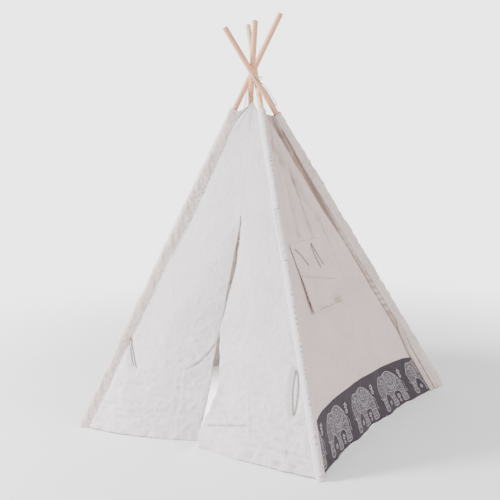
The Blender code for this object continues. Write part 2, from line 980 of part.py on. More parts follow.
def window_hinge_point(window):
    """The middle of the flap's sewn top edge, on its outer face."""
    corners = window.on_wall(0, 1) + window.on_wall(1, 1)
    return corners / 2 + window.out * (CLOTH * 3 / 2 + 2 * CLEARANCE)


def build_hinges(poles, front, window, parts):
    hinge("fold_axis", fold_axis_point(poles), parts, rear_frame_nodes(poles))
    for side, name in ((-1, "left"), (1, "right")):
        place = door_hinge_point(front, side)
        hinge(f"door_hinge_{name}", place, parts, [f"door_flap_{name}"])
    flap_nodes = ["window_flap", "window_tie_left", "window_tie_right"]
    hinge("window_hinge", window_hinge_point(window), parts, flap_nodes)


def main():
    clear_scene()
    parts = new_collection("kids_teepee")
    cutters = new_collection("cutters", helper=True)
    poles = make_poles()
    segments = {}
    for corner, pole in poles.items():
        segments[corner] = build_pole(pole, parts)
        joints = pole_joints(pole)
        build_ferrule(pole, joints[1], "lower", parts)
        build_ferrule(pole, joints[2], "upper", parts)
        build_sleeve(pole, parts)
    right = Wall(poles["front_right"], poles["rear_right"], SIDE_BOW)
    back = Wall(poles["rear_right"], poles["rear_left"], BACK_BOW)
    left = Wall(poles["rear_left"], poles["front_left"], SIDE_BOW)
    build_wall("right_panel", right, 18, 11, parts)
    build_wall("back_panel", back, 14, 8, parts)
    build_wall("left_panel", left, 14, 8, parts)
    build_band("right_band", right, 18, parts)
    build_band("back_band", back, 14, parts)
    build_band("left_band", left, 14, parts)
    front = Front(poles)
    build_front_half("front_left_panel", front, -1, parts)
    build_front_half("front_right_panel", front, 1, parts)
    build_flap("door_flap_left", front, -1, parts)
    build_flap("door_flap_right", front, 1, parts)
    window = Window(right)
    cut(bpy.data.objects["right_panel"], build_window_cutter(window, cutters))
    build_window_flap(window, parts)
    build_lashing(poles, segments, parts, cutters)
    build_cords(parts)
    build_hinges(poles, front, window, parts)


main()
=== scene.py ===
"""Kids' teepee: the looks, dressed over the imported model.

Metres, +Z up, in the model's own frame: the door faces -Y and the window is in the +X wall. The
cloth is laid on the same surfaces as the solids, with its sag, folds, puckered seams and print.
"""

from __future__ import annotations

import logging
import math
from dataclasses import dataclass, field, replace
from enum import Enum
from functools import lru_cache
from typing import Callable, Iterable, Sequence

import bmesh
import bpy
import numpy as np
from mathutils import Matrix, Vector, kdtree, noise


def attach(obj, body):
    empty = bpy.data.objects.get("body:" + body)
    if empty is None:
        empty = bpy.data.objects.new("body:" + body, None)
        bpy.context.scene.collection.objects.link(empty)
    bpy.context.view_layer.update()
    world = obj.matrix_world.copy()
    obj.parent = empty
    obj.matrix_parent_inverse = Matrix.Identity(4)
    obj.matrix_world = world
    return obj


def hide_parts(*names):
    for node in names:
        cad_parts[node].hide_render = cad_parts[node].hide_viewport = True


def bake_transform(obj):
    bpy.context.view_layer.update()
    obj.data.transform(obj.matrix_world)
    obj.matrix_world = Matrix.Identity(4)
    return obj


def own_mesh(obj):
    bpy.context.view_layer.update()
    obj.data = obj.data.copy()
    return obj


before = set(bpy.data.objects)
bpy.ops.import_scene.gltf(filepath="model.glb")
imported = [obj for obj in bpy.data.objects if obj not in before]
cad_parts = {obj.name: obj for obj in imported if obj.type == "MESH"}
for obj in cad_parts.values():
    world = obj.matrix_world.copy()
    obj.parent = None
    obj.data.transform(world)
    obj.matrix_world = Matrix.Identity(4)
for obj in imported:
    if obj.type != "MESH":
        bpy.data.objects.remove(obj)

log = logging.getLogger("teepee")

UP = Vector((0, 0, 1))
Place = Callable[[float, float], Vector]
# Painted shade at shares (across, up): how much lighter or darker the cloth is made
PaintedShade = Callable[[float, float], float]


# Sizes


@dataclass(frozen=True)
class TentSizes:
    """The model's driving dimensions: metres, and shares, powers and a count of waves."""

    base_width: float = 1.09
    base_depth: float = 1.17
    crossing: tuple[float, float, float] = (-0.030, -0.040, 1.365)
    pole_diameter: float = 0.022
    sleeve_radius: float = 0.0141
    sleeve_reach: float = 0.034
    sleeve_tip_radius: float = 0.0015
    front_sleeve_top: float = 1.258
    rear_sleeve_top: float = 1.240
    sleeve_taper: float = 0.240
    wall_top_drop: float = 0.010
    front_top_drop: float = 0.002
    hem: float = 0.003
    side_bow: float = 0.056
    back_bow: float = 0.040
    bow_end: float = 1.0
    sag_power: float = 0.75
    ripple: float = 0.007
    ripple_end: float = 0.45
    ripple_waves: int = 4
    slit_top: float = 0.858
    slit_widest: float = 0.057
    peak: float = 1.288
    door_post: float = 0.080
    flap_power: float = 1.5
    left_flap_bow: float = 0.085
    right_flap_bow: float = 0.034
    seam_share_hem: float = 0.479
    seam_share_slit: float = 0.600
    seam_share_peak: float = 0.700
    cloth: float = 0.0012


SIZES = TentSizes()
SPARE_CLOTH = 0.0009
TENT_MIDDLE = Vector((SIZES.crossing[0] / 2, SIZES.crossing[1] / 2, 0.3))

# The slit's edges left and right of its centre line, in widest gaps, by level above the hem
SLIT_EDGE_SHARES = (
    (0.00, -0.20, 0.36),
    (0.06, -0.15, 0.24),
    (0.11, -0.08, 0.48),
    (0.18, 0.05, 0.82),
    (0.24, 0.03, 1.00),
    (0.30, 0.00, 1.00),
    (0.37, -0.04, 0.77),
    (0.44, -0.04, 0.50),
    (0.50, 0.03, 0.34),
    (0.62, 0.08, 0.41),
    (0.76, 0.09, 0.54),
    (0.87, 0.10, 0.43),
    (0.95, 0.10, 0.26),
    (1.00, 0.05, 0.14),
)


class Corner(Enum):
    """A corner of the base: its sides, its crossing place in pole diameters, its seam reaches."""

    FRONT_LEFT = ("front_left", -1, -1, (-1.455, 0.205), (1.00, 0.95))
    FRONT_RIGHT = ("front_right", 1, -1, (-0.045, 1.273), (0.53, 0.50))
    REAR_RIGHT = ("rear_right", 1, 1, (1.636, -1.227), (1.00, 0.49))
    REAR_LEFT = ("rear_left", -1, 1, (-0.364, -0.136), (1.00, 0.49))

    @property
    def label(self) -> str:
        """The corner's name in node names."""
        return self.value[0]


SEAM_PARTNERS = {
    Corner.FRONT_LEFT: Corner.FRONT_RIGHT,
    Corner.FRONT_RIGHT: Corner.FRONT_LEFT,
    Corner.REAR_RIGHT: Corner.FRONT_RIGHT,
    Corner.REAR_LEFT: Corner.FRONT_LEFT,
}


# Small helpers


def lerp(a, b, share: float):
    """Between a and b, by a share."""
    return a + (b - a) * share


def ease(low: float, high: float, value: float) -> float:
    """0 below low and 1 above high, smooth between."""
    t = min(1.0, max(0.0, (value - low) / (high - low)))
    return t * t * (3 - 2 * t)


def ruffle(place: Vector, scale: float, seed: float = 0.0) -> float:
    """Smooth noise from -1 to 1 at a point, with so many bumps a metre."""
    return noise.noise(place * scale + Vector((seed, seed * 1.7, seed * 0.6)))


def crease(place: Vector, scale: float, seed: float = 0.0) -> float:
    """Sharp-crested noise from 0 to 1, as in crumpled cloth."""
    return (1 - abs(ruffle(place, scale, seed))) ** 4


def bell(value: float, centre: float, width: float) -> float:
    """A smooth bump of height 1 round a centre."""
    return math.exp(-(((value - centre) / width) ** 2))


def smooth_route(points: Sequence[Sequence[float]], spacing: float) -> list[Vector]:
    """Points every spacing along a smooth curve through a route.

    Args:
        points: the route, in metres.
        spacing: the distance between points that come back.

    Returns:
        The points, both ends included.
    """
    route = [Vector(p) for p in points]
    ends = [route[0] * 2 - route[1]] + route + [route[-1] * 2 - route[-2]]
    fine: list[Vector] = []
    for i in range(1, len(ends) - 2):
        before, start, end, after = ends[i - 1 : i + 3]
        for k in range(24):
            t = k / 24
            curve = start * 2 + (end - before) * t
            curve += (before * 2 - start * 5 + end * 4 - after) * t * t
            curve += (start * 3 - before - end * 3 + after) * t * t * t
            fine.append(curve / 2)
    fine.append(route[-1])
    lengths = [0.0]
    for a, b in zip(fine, fine[1:]):
        lengths.append(lengths[-1] + (b - a).length)
    count = max(4, round(lengths[-1] / spacing))
    out = []
    k = 0
    for i in range(count + 1):
        want = lengths[-1] * i / count
        while k < len(lengths) - 2 and lengths[k + 1] < want:
            k += 1
        share = (want - lengths[k]) / (lengths[k + 1] - lengths[k])
        out.append(lerp(fine[k], fine[k + 1], share))
    return out


def route_length(points: Sequence[Vector]) -> float:
    """The length of a line of points."""
    return sum((b - a).length for a, b in zip(points, points[1:]))


def way_at(route: Sequence[Vector], i: int) -> Vector:
    """The way from the point before to the point after, from itself at an end."""
    return route[min(i + 1, len(route) - 1)] - route[max(i - 1, 0)]


def deselect() -> None:
    """Nothing is selected."""
    if bpy.context.object and bpy.context.object.mode != "OBJECT":
        bpy.ops.object.mode_set(mode="OBJECT")
    bpy.ops.object.select_all(action="DESELECT")


def make_active(obj: bpy.types.Object) -> None:
    """Selects one object alone."""
    deselect()
    obj.select_set(True)
    bpy.context.view_layer.objects.active = obj


def apply_modifier(obj: bpy.types.Object, name: str) -> None:
    """Applies one modifier of an object."""
    make_active(obj)
    bpy.ops.object.modifier_apply(modifier=name)


def joined(name: str, pieces: Sequence[bpy.types.Object]) -> bpy.types.Object:
    """One object made of several."""
    deselect()
    for piece in pieces:
        piece.select_set(True)
    bpy.context.view_layer.objects.active = pieces[0]
    if len(pieces) > 1:
        bpy.ops.object.join()
    pieces[0].name = name
    return pieces[0]


def placed(name: str, data) -> bpy.types.Object:
    """A new object of some data, linked at the origin."""
    obj = bpy.data.objects.new(name, data)
    bpy.context.scene.collection.objects.link(obj)
    return obj


def closed_tubes(name: str, tubes: Iterable[Sequence[Sequence[Vector]]]) -> bpy.types.Object:
    """One smooth object of closed tubes, each given as its rings of points."""
    work = bmesh.new()
    for rings in tubes:
        verts = [[work.verts.new(point) for point in ring] for ring in rings]
        for low, high in zip(verts, verts[1:]):
            for k in range(len(low)):
                j = (k + 1) % len(low)
                work.faces.new((low[k], low[j], high[j], high[k]))
        work.faces.new(verts[0][::-1])
        work.faces.new(verts[-1])
    bmesh.ops.recalc_face_normals(work, faces=work.faces)
    mesh = bpy.data.meshes.new(name)
    work.to_mesh(mesh)
    work.free()
    mesh.shade_smooth()
    return placed(name, mesh)


def near_mean(values: np.ndarray, across: int, up: int) -> np.ndarray:
    """The mean over the cells round each point of a grid, fewer at its edges."""
    for axis, reach in ((1, across), (0, up)):
        count = values.shape[axis]
        sums = np.insert(np.cumsum(values, axis=axis), 0, 0, axis=axis)
        low = np.maximum(np.arange(count) - reach, 0)
        high = np.minimum(np.arange(count) + reach + 1, count)
        sizes = (high - low).reshape((-1, 1, 1) if axis == 0 else (1, -1, 1))
        values = (np.take(sums, high, axis) - np.take(sums, low, axis)) / sizes
    return values


# What counts as a fold in the painted fold shade: its reach in cells, and the depth in metres that
# is compared
SHADED_FOLD_SCALES = ((2, 0.0010), (6, 0.0032))
# How strongly a fold's depth is painted as shade
FOLD_SHADE_CONTRAST = 0.14


def paint_fold_shade(obj: bpy.types.Object, columns: int, rows: int, round_grid: bool, painted_shade) -> None:
    """Stores the painted shade of the folds, for the finish: how deep each point lies in a fold,
    from 0 deep in it and darkest to 1 on a crest.

    Args:
        obj: the laid grid.
        columns: its cells across.
        rows: its cells up.
        round_grid: whether it is rolled into a tube, so that only its length is compared.
        painted_shade: the painted shade added at shares (across, up), or None.
    """
    places = np.empty(len(obj.data.vertices) * 3)
    obj.data.vertices.foreach_get("co", places)
    places = places.reshape(rows + 1, columns + 1, 3)
    normals = np.cross(np.gradient(places, axis=1), np.gradient(places, axis=0))
    normals = near_mean(normals, 0 if round_grid else 2, 2)
    normals /= np.maximum(np.linalg.norm(normals, axis=2, keepdims=True), 1e-12)
    fold = np.full((rows + 1, columns + 1), 0.5)
    for reach, depth in SHADED_FOLD_SCALES:
        mean = near_mean(places, 0 if round_grid else reach, reach)
        fold += ((places - mean) * normals).sum(axis=2) / depth * FOLD_SHADE_CONTRAST
    if painted_shade is not None:
        for j in range(rows + 1):
            for i in range(columns + 1):
                fold[j, i] += painted_shade(i / columns, j / rows)
    # The painted shade is stored as the point attribute 'fold', which the cloth's finish darkens by
    marks = obj.data.attributes.new("fold", "FLOAT", "POINT")
    marks.data.foreach_set("value", fold.clip(0, 1).ravel())


def laid_grid(
    name: str,
    columns: int,
    rows: int,
    place: Place,
    flat: tuple[float, float],
    round_grid: bool = False,
    painted_shade: PaintedShade | None = None,
) -> bpy.types.Object:
    """A flat grid of cloth, its points moved to where it hangs.

    Args:
        name: the piece's name.
        columns: cells across.
        rows: cells up.
        place: the point at shares (across, up).
        flat: width and height of the cut, for the weave's own map.
        round_grid: whether the grid is rolled into a tube.
        painted_shade: how much lighter or darker the painted shade makes the cloth at shares
            (across, up).

    Returns:
        The single-layer mesh, at the origin.
    """
    deselect()
    bpy.ops.mesh.primitive_grid_add(
        x_subdivisions=columns, y_subdivisions=rows, size=2, calc_uvs=True
    )
    obj = bpy.context.object
    obj.name = name
    for vert in obj.data.vertices:
        vert.co = place((vert.co.x + 1) / 2, (vert.co.y + 1) / 2)
    for loop in obj.data.uv_layers.active.data:
        loop.uv = (loop.uv[0] * flat[0], loop.uv[1] * flat[1])
    paint_fold_shade(obj, columns, rows, round_grid, painted_shade)
    obj.data.shade_smooth()
    return obj


def thickened(obj: bpy.types.Object, thickness: float, offset: float = 0) -> None:
    """Gives a single layer of cloth its thickness."""
    shell = obj.modifiers.new("thickness", "SOLIDIFY")
    shell.thickness = thickness
    shell.offset = offset
    shell.use_even_offset = False
    apply_modifier(obj, shell.name)


def stand_for(
    obj: bpy.types.Object,
    nodes: Sequence[str],
    flat: tuple[float, float],
) -> None:
    """Args:
        obj: the sheet.
        nodes: the solids' nodes.
        flat: the width and height of its cut; the area is one side's, at most theirs; not used.
    """
    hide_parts(*nodes)
    tuple(round(v, 3) for v in flat)
    log.info("%s: %d faces", obj.name, len(obj.data.polygons))


# The cords' routes, in metres, as in the model's source
CORD_ROUTES = {
    "lashing_cord": [
        (0.0038, -0.0874, 1.3865), (-0.0025, -0.0773, 1.3865), (-0.0300, -0.0529, 1.3865),
        (-0.0544, -0.0268, 1.3865), (-0.0731, -0.0213, 1.3865), (-0.0698, -0.0037, 1.3865),
        (-0.0643, -0.0019, 1.3865), (-0.0401, -0.0030, 1.3865), (-0.0192, -0.0019, 1.3865),
    ],
    "canvas_cord_front": [
        (-0.0257, -0.0520, 1.2900), (-0.0240, -0.0545, 1.3200), (-0.0210, -0.0590, 1.3450),
        (-0.0163, -0.0658, 1.3847),
    ],
    "canvas_cord_left": [
        (-0.0570, -0.0705, 1.2620), (-0.0585, -0.0600, 1.2850), (-0.0610, -0.0480, 1.3100),
        (-0.0625, -0.0380, 1.3300), (-0.0600, -0.0240, 1.3520), (-0.0640, -0.0130, 1.3700),
        (-0.0698, -0.0037, 1.3838),
    ],
    "lashing_loop": [
        (0.0090, -0.0895, 1.3827), (0.0120, -0.0809, 1.3776), (0.0190, -0.0716, 1.3676),
        (0.0250, -0.0590, 1.3595), (0.0280, -0.0490, 1.3513), (0.0332, -0.0426, 1.3413),
        (0.0377, -0.0371, 1.3293), (0.0447, -0.0290, 1.3133), (0.0532, -0.0194, 1.2951),
        (0.0573, -0.0139, 1.2823), (0.0575, -0.0110, 1.2735), (0.0535, -0.0090, 1.2715),
        (0.0484, -0.0113, 1.2782), (0.0409, -0.0185, 1.2951), (0.0330, -0.0280, 1.3153),
        (0.0258, -0.0365, 1.3333), (0.0166, -0.0420, 1.3473), (0.0053, -0.0430, 1.3593),
        (-0.0040, -0.0330, 1.3720), (-0.0080, -0.0170, 1.3820), (-0.0110, -0.0050, 1.3860),
        (-0.0185, -0.0018, 1.3865),
    ],
    "tie_back_left": [
        (-0.3339, -0.4859, 0.2508), (-0.3533, -0.4723, 0.2860), (-0.3714, -0.4587, 0.3216),
        (-0.3855, -0.4478, 0.3550), (-0.3902, -0.4492, 0.3570), (-0.3892, -0.4532, 0.3440),
        (-0.3785, -0.4619, 0.3137), (-0.3650, -0.4730, 0.2848), (-0.3483, -0.4840, 0.2565),
    ],
    "tie_back_right": [
        (0.3741, -0.4456, 0.3395), (0.3722, -0.4611, 0.3034), (0.3757, -0.4781, 0.2634),
        (0.3839, -0.4946, 0.2242), (0.3951, -0.5097, 0.1881), (0.3995, -0.4961, 0.2201),
        (0.3964, -0.4765, 0.2662), (0.3907, -0.4623, 0.2998), (0.3793, -0.4483, 0.3330),
    ],
    "window_tie_left": [
        (0.2354, -0.1930, 0.7322), (0.2382, -0.1822, 0.7231), (0.2447, -0.1621, 0.7043),
        (0.2525, -0.1441, 0.6820), (0.2619, -0.1258, 0.6555),
    ],
    "window_tie_right": [
        (0.2701, -0.0387, 0.6358), (0.2606, -0.0504, 0.6619), (0.2501, -0.0591, 0.6910),
        (0.2400, -0.0630, 0.7191), (0.2366, -0.0615, 0.7288), (0.2366, -0.0560, 0.7288),
        (0.2441, -0.0474, 0.7088), (0.2558, -0.0332, 0.6768), (0.2690, -0.0138, 0.6413),
    ],
}
CORD_ENDS = {
    "lashing_cord": ("object", "taut", "front_frame"),
    "canvas_cord_front": ("object", "taut", "front_frame"),
    "canvas_cord_left": ("object", "taut", "front_frame"),
    "lashing_loop": ("object", "hanging", "front_frame"),
    "tie_back_left": ("bare", "hanging", "front_frame"),
    "tie_back_right": ("object", "hanging", "front_frame"),
    "window_tie_left": ("bare", "hanging", "window_flap"),
    "window_tie_right": ("bare", "hanging", "window_flap"),
}


# The distances from a tie at which the cloth's relief starts and is whole
CORD_CLEARANCE = (0.006, 0.024)


@lru_cache(maxsize=None)
def cords_on_cloth() -> kdtree.KDTree:
    """The ties' and tie-backs' places, for a quick search of the nearest."""
    names = [name for name in CORD_ROUTES if "tie" in name]
    places = [p for name in names for p in smooth_route(CORD_ROUTES[name], 0.004)]
    tree = kdtree.KDTree(len(places))
    for i, place in enumerate(places):
        tree.insert(place, i)
    tree.balance()
    return tree


def clear_of_cords(place: Vector) -> float:
    """0 where a tie lies on the cloth, 1 away from it."""
    return ease(*CORD_CLEARANCE, cords_on_cloth().find(place)[2])


def hang_on(obj: bpy.types.Object, body: str) -> None:
    """Rides a body; what is on the window's flap gets its own copy of its mesh."""
    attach(obj, body)
    if body == "window_flap":
        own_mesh(obj)


# Surfaces


class PoleLine:
    """One pole's axis line."""

    def __init__(self, corner: Corner) -> None:
        """Finds the axis from a corner's foot to its place in the crossing."""
        label, side_x, side_y, shares, reaches = corner.value
        self.label = label
        self.reaches = reaches
        self.front = side_y < 0
        self.foot = Vector((side_x * SIZES.base_width / 2, side_y * SIZES.base_depth / 2, 0))
        x, y, z = SIZES.crossing
        thick = SIZES.pole_diameter
        crossing = Vector((x + shares[0] * thick, y + shares[1] * thick, z))
        self.axis = (crossing - self.foot).normalized()
        self.partner: PoleLine = self

    def at(self, distance: float) -> Vector:
        """The axis point this far from the foot."""
        return self.foot + self.axis * distance

    def at_height(self, height: float) -> Vector:
        """The axis point at a height."""
        return self.foot + self.axis * (height / self.axis.z)

    def across(self, other: PoleLine) -> Vector:
        """The unit direction square to this pole, towards another's foot."""
        way = other.foot - self.foot
        return (way - self.axis * way.dot(self.axis)).normalized()

    @property
    def top_height(self) -> float:
        """The height of its sleeve's open top."""
        return SIZES.front_sleeve_top if self.front else SIZES.rear_sleeve_top

    @property
    def sleeve_top(self) -> float:
        """The distance along the pole of its sleeve's open top."""
        return self.top_height / self.axis.z

    def reach(self, distance: float) -> float:
        """How far the sleeve's seam lies from the axis."""
        start = self.sleeve_top - SIZES.sleeve_taper
        rise = max(0.0, (distance - start) / SIZES.sleeve_taper)
        return SIZES.sleeve_reach * lerp(self.reaches[0], self.reaches[1], rise)

    def seam(self, distance: float) -> Vector:
        """The seam's place at a distance along the pole."""
        return self.at(distance) + self.across(self.partner) * self.reach(distance)

    def seam_at_height(self, height: float) -> Vector:
        """The seam's place at a height."""
        distance = height / self.axis.z
        for _ in range(8):
            distance += (height - self.seam(distance).z) / self.axis.z
        return self.seam(distance)

    def edge_at_height(self, other: PoleLine, height: float) -> Vector:
        """A wall's edge on this sleeve: at its seam, or on its round side."""
        if self.partner is other:
            return self.seam_at_height(height)
        start = self.foot + self.across(other) * SIZES.sleeve_radius
        return start + self.axis * ((height - start.z) / self.axis.z)


def make_poles() -> dict[Corner, PoleLine]:
    """The four pole lines, each with the partner that its seam points to."""
    poles = {corner: PoleLine(corner) for corner in Corner}
    for corner, pole in poles.items():
        pole.partner = poles[SEAM_PARTNERS[corner]]
    return poles


POLES = make_poles()


class SideWall:
    """The surface of one closed wall between two poles."""

    def __init__(self, start: Corner, end: Corner, bow: float) -> None:
        """Spans two corners' poles, with the sag of its middle in metres."""
        self.start = POLES[start]
        self.end = POLES[end]
        self.bow = bow
        self.inward = UP.cross(self.end.foot - self.start.foot).normalized()
        self.edges = lru_cache(maxsize=None)(self._edges)

    def _edges(self, level: float) -> tuple[Vector, Vector, float]:
        """Both edges at a level, and its mean height."""
        near, far = (
            lerp(SIZES.hem, pole.top_height - SIZES.wall_top_drop, level)
            for pole in (self.start, self.end)
        )
        return (
            self.start.edge_at_height(self.end, near),
            self.end.edge_at_height(self.start, far),
            (near + far) / 2,
        )

    @property
    def width(self) -> float:
        """The distance between its two poles' feet."""
        return (self.end.foot - self.start.foot).length

    def height(self, level: float) -> float:
        """The mean height of a level from hem (0) to top (1)."""
        return self.edges(level)[2]

    def level(self, height: float) -> float:
        """The level at a mean height."""
        return (height - self.height(0.0)) / (self.height(1.0) - self.height(0.0))

    def point(self, share: float, level: float) -> Vector:
        """A point of the smooth wall, with its sag and hem ripple."""
        near, far, height = self.edges(level)
        across = max(0.0, 4 * share * (1 - share)) ** SIZES.sag_power
        sag = self.bow * max(0.0, 1 - height / SIZES.bow_end) * across
        fade = max(0.0, 1 - height / SIZES.ripple_end) ** 3
        wave = math.cos(math.tau * SIZES.ripple_waves * share)
        sag += SIZES.ripple * fade * math.sin(math.pi * share) * wave
        return lerp(near, far, share) + self.inward * sag

    def normal(self, share: float, level: float) -> Vector:
        """The outward normal of the smooth wall."""
        step = 0.01
        a = min(max(share, step), 1 - step)
        b = min(max(level, step), 1 - step)
        along = self.point(a + step, b) - self.point(a - step, b)
        up = self.point(a, b + step) - self.point(a, b - step)
        return along.cross(up).normalized()

    def share_at(self, y: float, level: float) -> float:
        """The share where a side wall crosses a y place."""
        near, far, _ = self.edges(level)
        return (y - near.y) / (far.y - near.y)


def slit_edge(side: int, level: float) -> float:
    """The slit's left or right edge off its centre line at a level, in metres."""
    column = 1 if side < 0 else 2
    for low, high in zip(SLIT_EDGE_SHARES, SLIT_EDGE_SHARES[1:]):
        if level <= high[0]:
            rise = ease(low[0], high[0], level)
            return lerp(low[column], high[column], rise) * SIZES.slit_widest
    return SLIT_EDGE_SHARES[-1][column] * SIZES.slit_widest


class FrontWall:
    """The front's lines: sleeves, centre seam, fold lines and slit edges."""

    def __init__(self) -> None:
        """Finds the slit's ends and the peak on the flat front."""
        self.left = POLES[Corner.FRONT_LEFT]
        self.right = POLES[Corner.FRONT_RIGHT]
        self.way = (self.right.foot - self.left.foot).normalized()
        self.inward = UP.cross(self.way)
        self.slit_top = self.between(SIZES.seam_share_slit, SIZES.slit_top)
        self.slit_foot = self.between(SIZES.seam_share_hem, SIZES.hem)
        self.peak = self.between(SIZES.seam_share_peak, SIZES.peak)
        self.top = SIZES.front_sleeve_top - SIZES.front_top_drop
        self.row = lru_cache(maxsize=None)(self._row)

    def between(self, share: float, height: float) -> Vector:
        """A point of the flat front between the two pole axes."""
        return lerp(self.left.at_height(height), self.right.at_height(height), share)

    def pole(self, side: int) -> PoleLine:
        """The pole on one side."""
        return self.left if side < 0 else self.right

    def fold_foot(self, side: int) -> Vector:
        """The foot of a flap's fold line."""
        edge = self.pole(side).seam_at_height(SIZES.hem)
        return edge - self.way * (side * SIZES.door_post)

    def _row(self, side: int, level: float) -> tuple[Vector, Vector, float, float]:
        """One half at a level: its outer and inner edge, its fold's share and its bow."""
        height = lerp(SIZES.hem, self.top, level)
        outer = self.pole(side).seam_at_height(height)
        if height >= SIZES.slit_top:
            rise = (height - SIZES.slit_top) / (self.top - SIZES.slit_top)
            return outer, lerp(self.slit_top, self.peak, rise), 1.0, 0.0
        climb = (height - SIZES.hem) / (SIZES.slit_top - SIZES.hem)
        middle = lerp(self.slit_foot, self.slit_top, climb)
        edge = middle + self.way * (slit_edge(side, climb) * ease(1.0, 0.985, climb))
        fold = lerp(self.fold_foot(side), self.slit_top, climb)
        share = (fold - outer).length / (edge - outer).length
        bow = SIZES.left_flap_bow if side < 0 else SIZES.right_flap_bow
        return outer, edge, min(share, 1.0), bow * (1 - climb)

    def point(self, side: int, share: float, level: float) -> Vector:
        """A point of one half with its flap; share runs from the sleeve to the middle."""
        outer, inner, fold, bow = self.row(side, level)
        place = lerp(outer, inner, share)
        if share > fold:
            past = (share - fold) / (1 - fold)
            place = place + self.inward * (bow * past**SIZES.flap_power)
        return place


# Finishes


class Nodes:
    """A material's node tree, built step by step."""

    def __init__(self, name: str) -> None:
        """Starts a material with its one shader."""
        self.material = bpy.data.materials.new(name)
        self.material.use_nodes = True
        self.tree = self.material.node_tree
        self.shader = self.tree.nodes["Principled BSDF"]

    def add(self, kind: str, **values) -> bpy.types.Node:
        """A node with its sockets or properties set.

        Args:
            kind: the node's type name.
            values: socket names with _ for spaces, or property names.

        Returns:
            The new node.
        """
        node = self.tree.nodes.new(kind)
        for key, value in values.items():
            socket = key.replace("_", " ").title()
            if socket in node.inputs:
                node.inputs[socket].default_value = value
            else:
                setattr(node, key, value)
        return node

    def link(self, source, target) -> None:
        """Links two sockets."""
        self.tree.links.new(source, target)

    def mapped(self, where, **values):
        """A coordinate scaled, turned or moved by a mapping node's sockets."""
        mapping = self.add("ShaderNodeMapping", **values)
        self.link(where, mapping.inputs["Vector"])
        return mapping.outputs["Vector"]

    def coordinates(self, output: str, scale: Sequence[float] = (1, 1, 1)):
        """A mapped coordinate's output socket."""
        source = self.add("ShaderNodeTexCoord")
        return self.mapped(source.outputs[output], Scale=scale)

    def noise(self, where, scale: float, detail: float = 3, distortion: float = 0):
        """A noise texture's value."""
        values = {"scale": scale, "detail": detail, "distortion": distortion}
        node = self.add("ShaderNodeTexNoise", **values)
        self.link(where, node.inputs["Vector"])
        return node.outputs["Fac"]

    def wave(self, where, direction: str, scale: float):
        """A band texture's value."""
        node = self.add("ShaderNodeTexWave", scale=scale, bands_direction=direction)
        self.link(where, node.inputs["Vector"])
        return node.outputs["Fac"]

    def between(self, amount, low, high, spread=(0.35, 0.65)):
        """A colour that runs from low to high with an amount."""
        ramp = self.add("ShaderNodeValToRGB")
        for element, at, color in zip(ramp.color_ramp.elements, spread, (low, high)):
            element.position = at
            element.color = (*color, 1)
        self.link(amount, ramp.inputs["Fac"])
        return ramp.outputs["Color"]

    def mixed(self, kind: str, amount, first, second):
        """Two colours mixed by a blend kind."""
        node = self.add("ShaderNodeMixRGB", blend_type=kind)
        node.inputs[0].default_value = amount
        self.link(first, node.inputs[1])
        self.link(second, node.inputs[2])
        return node.outputs[0]

    def finish(self, color, **values) -> None:
        """Links the shader's colour, and sets its sockets named with _ for spaces."""
        self.link(color, self.shader.inputs["Base Color"])
        for key, value in values.items():
            self.shader.inputs[key.replace("_", " ")].default_value = value

    def bump(self, height, strength: float, distance: float, below=None):
        """A bump on the shader's normal, over another one."""
        node = self.add("ShaderNodeBump", strength=strength, distance=distance)
        self.link(height, node.inputs["Height"])
        if below is not None:
            self.link(below, node.inputs["Normal"])
        self.link(node.outputs["Normal"], self.shader.inputs["Normal"])
        return node.outputs["Normal"]


@dataclass(frozen=True)
class Canvas:
    """Plain-woven cotton: a soft mottle, thread lines and small creases, and painted shade that
    darkens its folds.
    """

    name: str
    light: tuple[float, float, float]
    dark: tuple[float, float, float]
    crumple: float = 0.30
    # The colour that the painted shade takes deep in a fold
    painted_shade_color: tuple[float, float, float] = (0.62, 0.54, 0.50)
    roughness: float = 0.92

    def build(self) -> bpy.types.Material:
        """The cloth's material."""
        nodes = Nodes(self.name)
        here = nodes.coordinates("Object")
        cloth = nodes.coordinates("UV")
        mottle = nodes.noise(here, 9, 4)
        base = nodes.between(mottle, self.dark, self.light, (0.30, 0.62))
        slub = nodes.noise(nodes.coordinates("UV", (22, 700, 1)), 1, 2)
        threads = nodes.between(slub, (0.93, 0.93, 0.93), (1, 1, 1), (0.38, 0.60))
        slub_up = nodes.noise(nodes.coordinates("UV", (700, 22, 1)), 1, 2)
        threads_up = nodes.between(slub_up, (0.95, 0.95, 0.95), (1, 1, 1), (0.38, 0.60))
        color = nodes.mixed("MULTIPLY", 0.9, base, threads)
        color = nodes.mixed("MULTIPLY", 0.9, color, threads_up)
        # Painted shade: the colour darkens towards the painted shade colour where the point lies
        # deep in a fold
        fold = nodes.add("ShaderNodeAttribute", attribute_name="fold").outputs["Fac"]
        shade = nodes.between(fold, self.painted_shade_color, (1, 1, 1), (0.0, 0.46))
        color = nodes.mixed("MULTIPLY", 1.0, color, shade)
        nodes.finish(
            color,
            Roughness=self.roughness,
            Sheen_Weight=0.12,
            Sheen_Roughness=0.6,
            Specular_IOR_Level=0.15,
        )
        creases = nodes.noise(here, 26, 5, 1.1)
        normal = nodes.bump(creases, self.crumple, 0.008)
        warp = nodes.wave(cloth, "X", 330)
        weft = nodes.wave(cloth, "Y", 330)
        weave = nodes.mixed("MULTIPLY", 1.0, warp, weft)
        nodes.bump(weave, 0.18, 0.0004, normal)
        return nodes.material


@dataclass(frozen=True)
class PrintInk:
    """Faded print on the band."""

    name: str
    light: tuple[float, float, float]
    dark: tuple[float, float, float]
    scale: float

    def build(self) -> bpy.types.Material:
        """The ink's material."""
        nodes = Nodes(self.name)
        here = nodes.coordinates("Object")
        worn = nodes.noise(here, self.scale, 3, 0.6)
        color = nodes.between(worn, self.dark, self.light, (0.42, 0.56))
        nodes.finish(color, Roughness=0.9, Specular_IOR_Level=0.15)
        nodes.bump(nodes.noise(here, 900, 2), 0.15, 0.0004)
        return nodes.material


